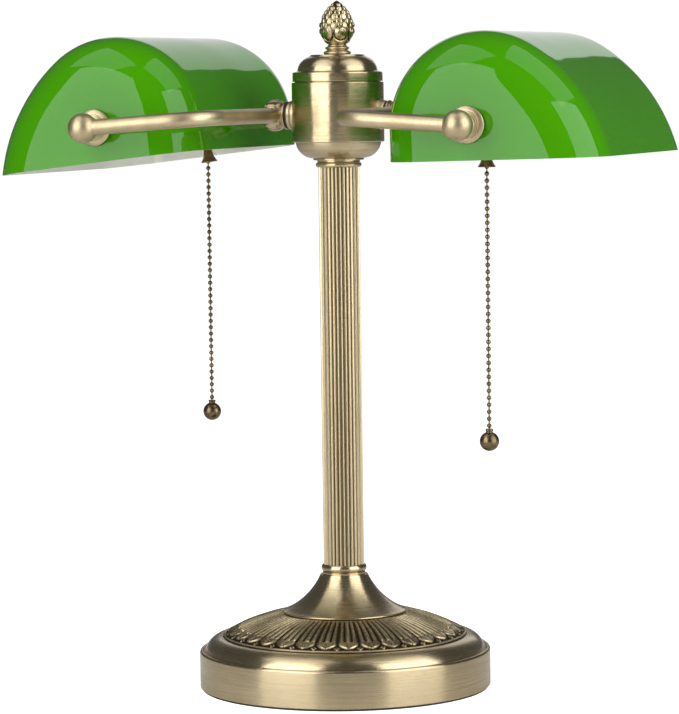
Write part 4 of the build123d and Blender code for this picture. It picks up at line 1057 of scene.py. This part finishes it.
def bulbs():
    """Tubular frosted bulbs, and their caps with a rolled screw thread: the radius swings with
    height / pitch less the turn."""
    for name, sign in ARMS:
        _, pivot, _, _ = arm_frame(name, sign)
        axis = tilt_axes(pivot)[0]
        tip, neck = np.sort(-sign * np.array(box_mm(name + "_bulb"))[:, 1])
        body, waist = 16.0, 12.5
        glass = np.vstack([
            smooth_line([(0, tip), (6.4, tip + 1.3), (11.3, tip + 4.7), (14.8, tip + 9.9),
                         (body, tip + 16)], 24), [(body, tip + 40), (body, neck - 30)],
            smooth_line([(body, neck - 19), (15.3, neck - 15.5), (13.2, neck - 9.5), (waist, neck - 5),
                         (waist, neck)], 20), [(0, neck)]])
        piece(name + "_bulb_frosted", [turned(glass, axis, 64, False)], name + "_arm", name + "_bulb",
              "bulb_glass", sign)
        pitch, end = 3.6, neck + 24.0
        rows = np.linspace(neck - 0.5, end - 4, 72)
        turn, level = np.meshgrid(np.linspace(0, 2 * pi, 65), rows)
        fade = np.clip(np.minimum(level - neck, end - 4 - level) / 1.5, 0, 1)
        swing = 0.45 * fade * np.sin(2 * pi * level / pitch - turn)
        thread = axis.place(waist + swing, level, turn)
        tail = np.array([(waist, end - 4), (8.2, end), (4.5, end + 0.4), (4.5, end + 1.6), (4.0, end + 2),
                         (0, end + 2)])
        piece(name + "_bulb_cap_threaded", [thread, turned(tail, axis, 64, False)], name + "_arm",
              name + "_bulb_base", "bulb_metal", sign, 40)


def chains():
    """Bead chains, each one turned outline of beads on a wire, and their ball pulls."""
    arm = sizes("arm")
    bead, pitch = arm.bead_radius / MM, arm.bead_pitch / MM
    for name, sign in ARMS:
        _, _, hang, _ = arm_frame(name, sign)
        chain_low, chain_high = box_mm(name + "_bead_chain")
        count = int(round((chain_high[2] - chain_low[2]) / pitch))
        plumb = Axis(hang, (0, 0, -1), (0, 1, 0))
        wire = 0.5
        reach = (bead ** 2 - wire ** 2) ** 0.5
        angle = np.linspace(-np.arccos(wire / bead), np.arccos(wire / bead), 9)
        place = (np.arange(count) + 0.5) * pitch
        radius = np.tile(bead * np.cos(angle), count)
        level = (place[:, None] + bead * np.sin(angle)[None]).reshape(-1)
        outline = np.vstack([[(0, 0.15), (wire, 0.15)], np.stack([radius, level], 1),
                             [(wire, place[-1] + reach + 0.3), (0, place[-1] + reach + 0.3)]])
        piece(name + "_bead_chain_links", [turned(outline, plumb, 16, False)], name + "_chain",
              name + "_bead_chain", "bronze", sign, 60)
        low, high = box_mm(name + "_chain_pull")
        ball = (high[0] - low[0]) / 2
        bottom = hang[2] - low[2]
        middle = bottom - ball
        mouth = 2.4
        neck = (ball ** 2 - mouth ** 2) ** 0.5
        turn = np.linspace(-np.arccos(mouth / ball), pi / 2, 28)
        globe = np.stack([ball * np.cos(turn), middle + ball * np.sin(turn)], 1)
        globe[-1, 0] = 0
        collar = rounded([(1.5, middle - neck - 2.3), (2.0, middle - neck - 2.4), (2.5, middle - neck - 1.9),
                          (2.6, middle - neck - 1.1), (2.1, middle - neck - 0.7), (mouth, middle - neck)],
                         0.3, 4, False)
        outline = np.vstack([[(0, middle - neck - 2.0)], collar, globe])
        piece(name + "_chain_pull_turned", [turned(outline, plumb, 48, False)], name + "_chain",
              name + "_chain_pull", "bronze", sign, 40)


def frame_finishes():
    """The CAD nodes that stay get the finish of their slot in the record."""
    for row in frame["record"]["subparts"]:
        node = frame["nodes"][row["node"]]
        if node.hide_render:
            continue
        node.data.materials.clear()
        node.data.materials.append(finish_of(row["material_slot"]))


# ------------------------------------------------------------------ studio
def studio():
    """Pale floor, two tall front soft boxes with a gap between them, one overhead on each side, one
    behind, a white room and the camera."""
    view = sizes("studio")
    scene = bpy.context.scene
    scene.view_settings.view_transform = "Standard"
    side = 8.0
    mesh = bpy.data.meshes.new("studio_floor")
    corners = [(-side, -side, 0), (side, -side, 0), (side, side, 0), (-side, side, 0)]
    mesh.from_pydata(corners, [], [(0, 1, 2, 3)])
    floor = bpy.data.objects.new("studio_floor", mesh)
    scene.collection.objects.link(floor)

    def pale(tree, shader):
        place = put(tree, "TexCoord").outputs["Object"]
        tone = spread(tree, noise(tree, place, 3.0), 0.3, 0.7)
        seen = put(tree, "LightPath").outputs["Is Camera Ray"]
        connect(tree, shader, {
            "Base Color": blend_colour(tree, tone, (0.8, 0.8, 0.8, 1), (0.77, 0.77, 0.77, 1)),
            "Roughness": 0.6, "Emission Color": (1, 1, 1, 1),
            "Emission Strength": spread(tree, seen, 0, 1, 0.05, 0.97)})
    mesh.materials.append(material("Pale floor", pale))

    def soft_box(name, turn, away, height, wide, tall, radiance, aim):
        """A soft box turned from the camera about the lamp, aimed at a height of the column."""
        lamp = bpy.data.lights.new(name, "AREA")
        lamp.shape, lamp.size, lamp.size_y = "RECTANGLE", wide, tall
        lamp.energy = radiance * pi * wide * tall
        box = bpy.data.objects.new(name, lamp)
        scene.collection.objects.link(box)
        bearing = view.azimuth + radians(turn)
        box.location = (away * sin(bearing), -away * cos(bearing), height)
        box.rotation_euler = (Vector((0, 0, aim)) - box.location).to_track_quat("-Z", "Y").to_euler()

    soft_box("soft_box_left", -46, 1.9, 0.95, 1.75, 1.9, view.box_light, 0.5)
    soft_box("soft_box_right", 57, 1.9, 0.95, 1.9, 1.9, view.box_light, 0.5)
    soft_box("soft_box_top_left", -68, 0.95, 1.95, 1.5, 1.2, view.top_light, 0.1)
    soft_box("soft_box_top_right", 72, 0.95, 1.95, 1.5, 1.2, view.top_light, 0.1)
    soft_box("soft_box_back", 175, 1.9, 0.86, 1.15, 0.9, view.back_light, 0.4)

    world = bpy.data.worlds.new("White room")
    scene.world = world
    world.use_nodes = True
    tree = world.node_tree
    seen = put(tree, "LightPath").outputs["Is Camera Ray"]
    strength = spread(tree, seen, 0, 1, view.room_light, 1.02)
    background = tree.nodes["Background"]
    background.inputs["Color"].default_value = (1, 1, 1, 1)
    tree.links.new(strength, background.inputs["Strength"])

    data = bpy.data.cameras.new("Camera")
    data.lens, data.sensor_width = view.lens, 36
    data.shift_x = -0.0025
    data.clip_end = 50
    camera = bpy.data.objects.new("Camera", data)
    scene.collection.objects.link(camera)
    around, dip, roll = view.azimuth, view.pitch, view.roll
    right = Vector((cos(around), sin(around), 0))
    back = Vector((sin(around) * cos(dip), -cos(around) * cos(dip), sin(dip)))
    up = back.cross(right)
    x_axis = right * cos(roll) + up * sin(roll)
    y_axis = up * cos(roll) - right * sin(roll)
    turn = Matrix((x_axis, y_axis, back)).transposed().to_4x4()
    turn.translation = (view.distance * sin(around), -view.distance * cos(around), view.height)
    camera.matrix_world = turn
    scene.camera = camera


# ------------------------------------------------------------------ operators and panel
class Builder:
    """What the operators share: each builds its steps in order and lets their errors through."""
    bl_options = {"REGISTER", "UNDO"}
    steps = ()

    def execute(self, context):
        for step in self.steps:
            step()
        return {"FINISHED"}


class DESK_LAMP_OT_base(Builder, bpy.types.Operator):
    """Spun base shell, cone and collars"""
    bl_idname = "desk_lamp.base"
    bl_label = "Base"
    steps = (base_shell, cone, collars)


class DESK_LAMP_OT_leaf_ring(Builder, bpy.types.Operator):
    """Cast ring of leaves"""
    bl_idname = "desk_lamp.leaf_ring"
    bl_label = "Leaf ring"
    steps = (leaf_ring,)


class DESK_LAMP_OT_column(Builder, bpy.types.Operator):
    """Fluted column"""
    bl_idname = "desk_lamp.column"
    bl_label = "Column"
    steps = (column,)


class DESK_LAMP_OT_hub(Builder, bpy.types.Operator):
    """Bowl, body, cap and spool of the hub"""
    bl_idname = "desk_lamp.hub"
    bl_label = "Hub"
    steps = (hub,)


class DESK_LAMP_OT_finial(Builder, bpy.types.Operator):
    """Cast finial"""
    bl_idname = "desk_lamp.finial"
    bl_label = "Finial"
    steps = (finial,)


class DESK_LAMP_OT_stud_collars(Builder, bpy.types.Operator):
    """Turned collars on the hub's sides"""
    bl_idname = "desk_lamp.stud_collars"
    bl_label = "Stud collars"
    steps = (stud_collars,)


class DESK_LAMP_OT_flower_cups(Builder, bpy.types.Operator):
    """Cast cups that carry the yokes"""
    bl_idname = "desk_lamp.flower_cups"
    bl_label = "Flower cups"
    steps = (flower_cups,)


class DESK_LAMP_OT_yokes(Builder, bpy.types.Operator):
    """Bent tubes of the arms"""
    bl_idname = "desk_lamp.yokes"
    bl_label = "Yokes"
    steps = (yokes,)


class DESK_LAMP_OT_ball_fittings(Builder, bpy.types.Operator):
    """Balls, ribbed necks and flanges"""
    bl_idname = "desk_lamp.ball_fittings"
    bl_label = "Ball fittings"
    steps = (ball_fittings,)


class DESK_LAMP_OT_shades(Builder, bpy.types.Operator):
    """Cased glass shades"""
    bl_idname = "desk_lamp.shades"
    bl_label = "Shades"
    steps = (shades,)


class DESK_LAMP_OT_sockets(Builder, bpy.types.Operator):
    """Socket caps, shells and chain outlets"""
    bl_idname = "desk_lamp.sockets"
    bl_label = "Sockets"
    steps = (sockets,)


class DESK_LAMP_OT_bulbs(Builder, bpy.types.Operator):
    """Frosted bulbs with threaded caps"""
    bl_idname = "desk_lamp.bulbs"
    bl_label = "Bulbs"
    steps = (bulbs,)


class DESK_LAMP_OT_chains(Builder, bpy.types.Operator):
    """Bead chains and ball pulls"""
    bl_idname = "desk_lamp.chains"
    bl_label = "Pull chains"
    steps = (chains,)


class DESK_LAMP_OT_frame_finishes(Builder, bpy.types.Operator):
    """Finishes of the parts kept as they are"""
    bl_idname = "desk_lamp.frame_finishes"
    bl_label = "Frame finishes"
    steps = (frame_finishes,)


class DESK_LAMP_OT_studio(Builder, bpy.types.Operator):
    """Floor, lights, room and camera"""
    bl_idname = "desk_lamp.studio"
    bl_label = "Studio"
    steps = (studio,)


OPERATORS = (
    DESK_LAMP_OT_base, DESK_LAMP_OT_leaf_ring, DESK_LAMP_OT_column, DESK_LAMP_OT_hub,
    DESK_LAMP_OT_finial, DESK_LAMP_OT_stud_collars, DESK_LAMP_OT_flower_cups, DESK_LAMP_OT_yokes,
    DESK_LAMP_OT_ball_fittings, DESK_LAMP_OT_shades, DESK_LAMP_OT_sockets, DESK_LAMP_OT_bulbs,
    DESK_LAMP_OT_chains, DESK_LAMP_OT_frame_finishes, DESK_LAMP_OT_studio)


class DESK_LAMP_PT_panel(bpy.types.Panel):
    """Lists the lamp's pieces in the sidebar."""
    bl_label = "Desk lamp"
    bl_idname = "DESK_LAMP_PT_panel"
    bl_space_type = "VIEW_3D"
    bl_region_type = "UI"
    bl_category = "Desk lamp"

    def draw(self, context):
        for item in OPERATORS:
            self.layout.operator(item.bl_idname)


GROUPS = {"stand": StandSizes, "arm": ArmSizes, "shade": ShadeSizes, "finishes": Finishes, "studio": Studio}


def register():
    """Register the property groups, the operators and the panel."""
    for key, made in GROUPS.items():
        bpy.utils.register_class(made)
        setattr(bpy.types.Scene, "desk_lamp_" + key, bpy.props.PointerProperty(type=made))
    for made in (*OPERATORS, DESK_LAMP_PT_panel):
        bpy.utils.register_class(made)


def unregister():
    """Remove what register added."""
    for made in (DESK_LAMP_PT_panel, *reversed(OPERATORS)):
        bpy.utils.unregister_class(made)
    for key, made in GROUPS.items():
        delattr(bpy.types.Scene, "desk_lamp_" + key)
        bpy.utils.unregister_class(made)


def main():
    """Build every piece and the studio."""
    register()
    for item in OPERATORS:
        area, name = item.bl_idname.split(".")
        getattr(getattr(bpy.ops, area), name)()


if __name__ == "__main__":
    main()
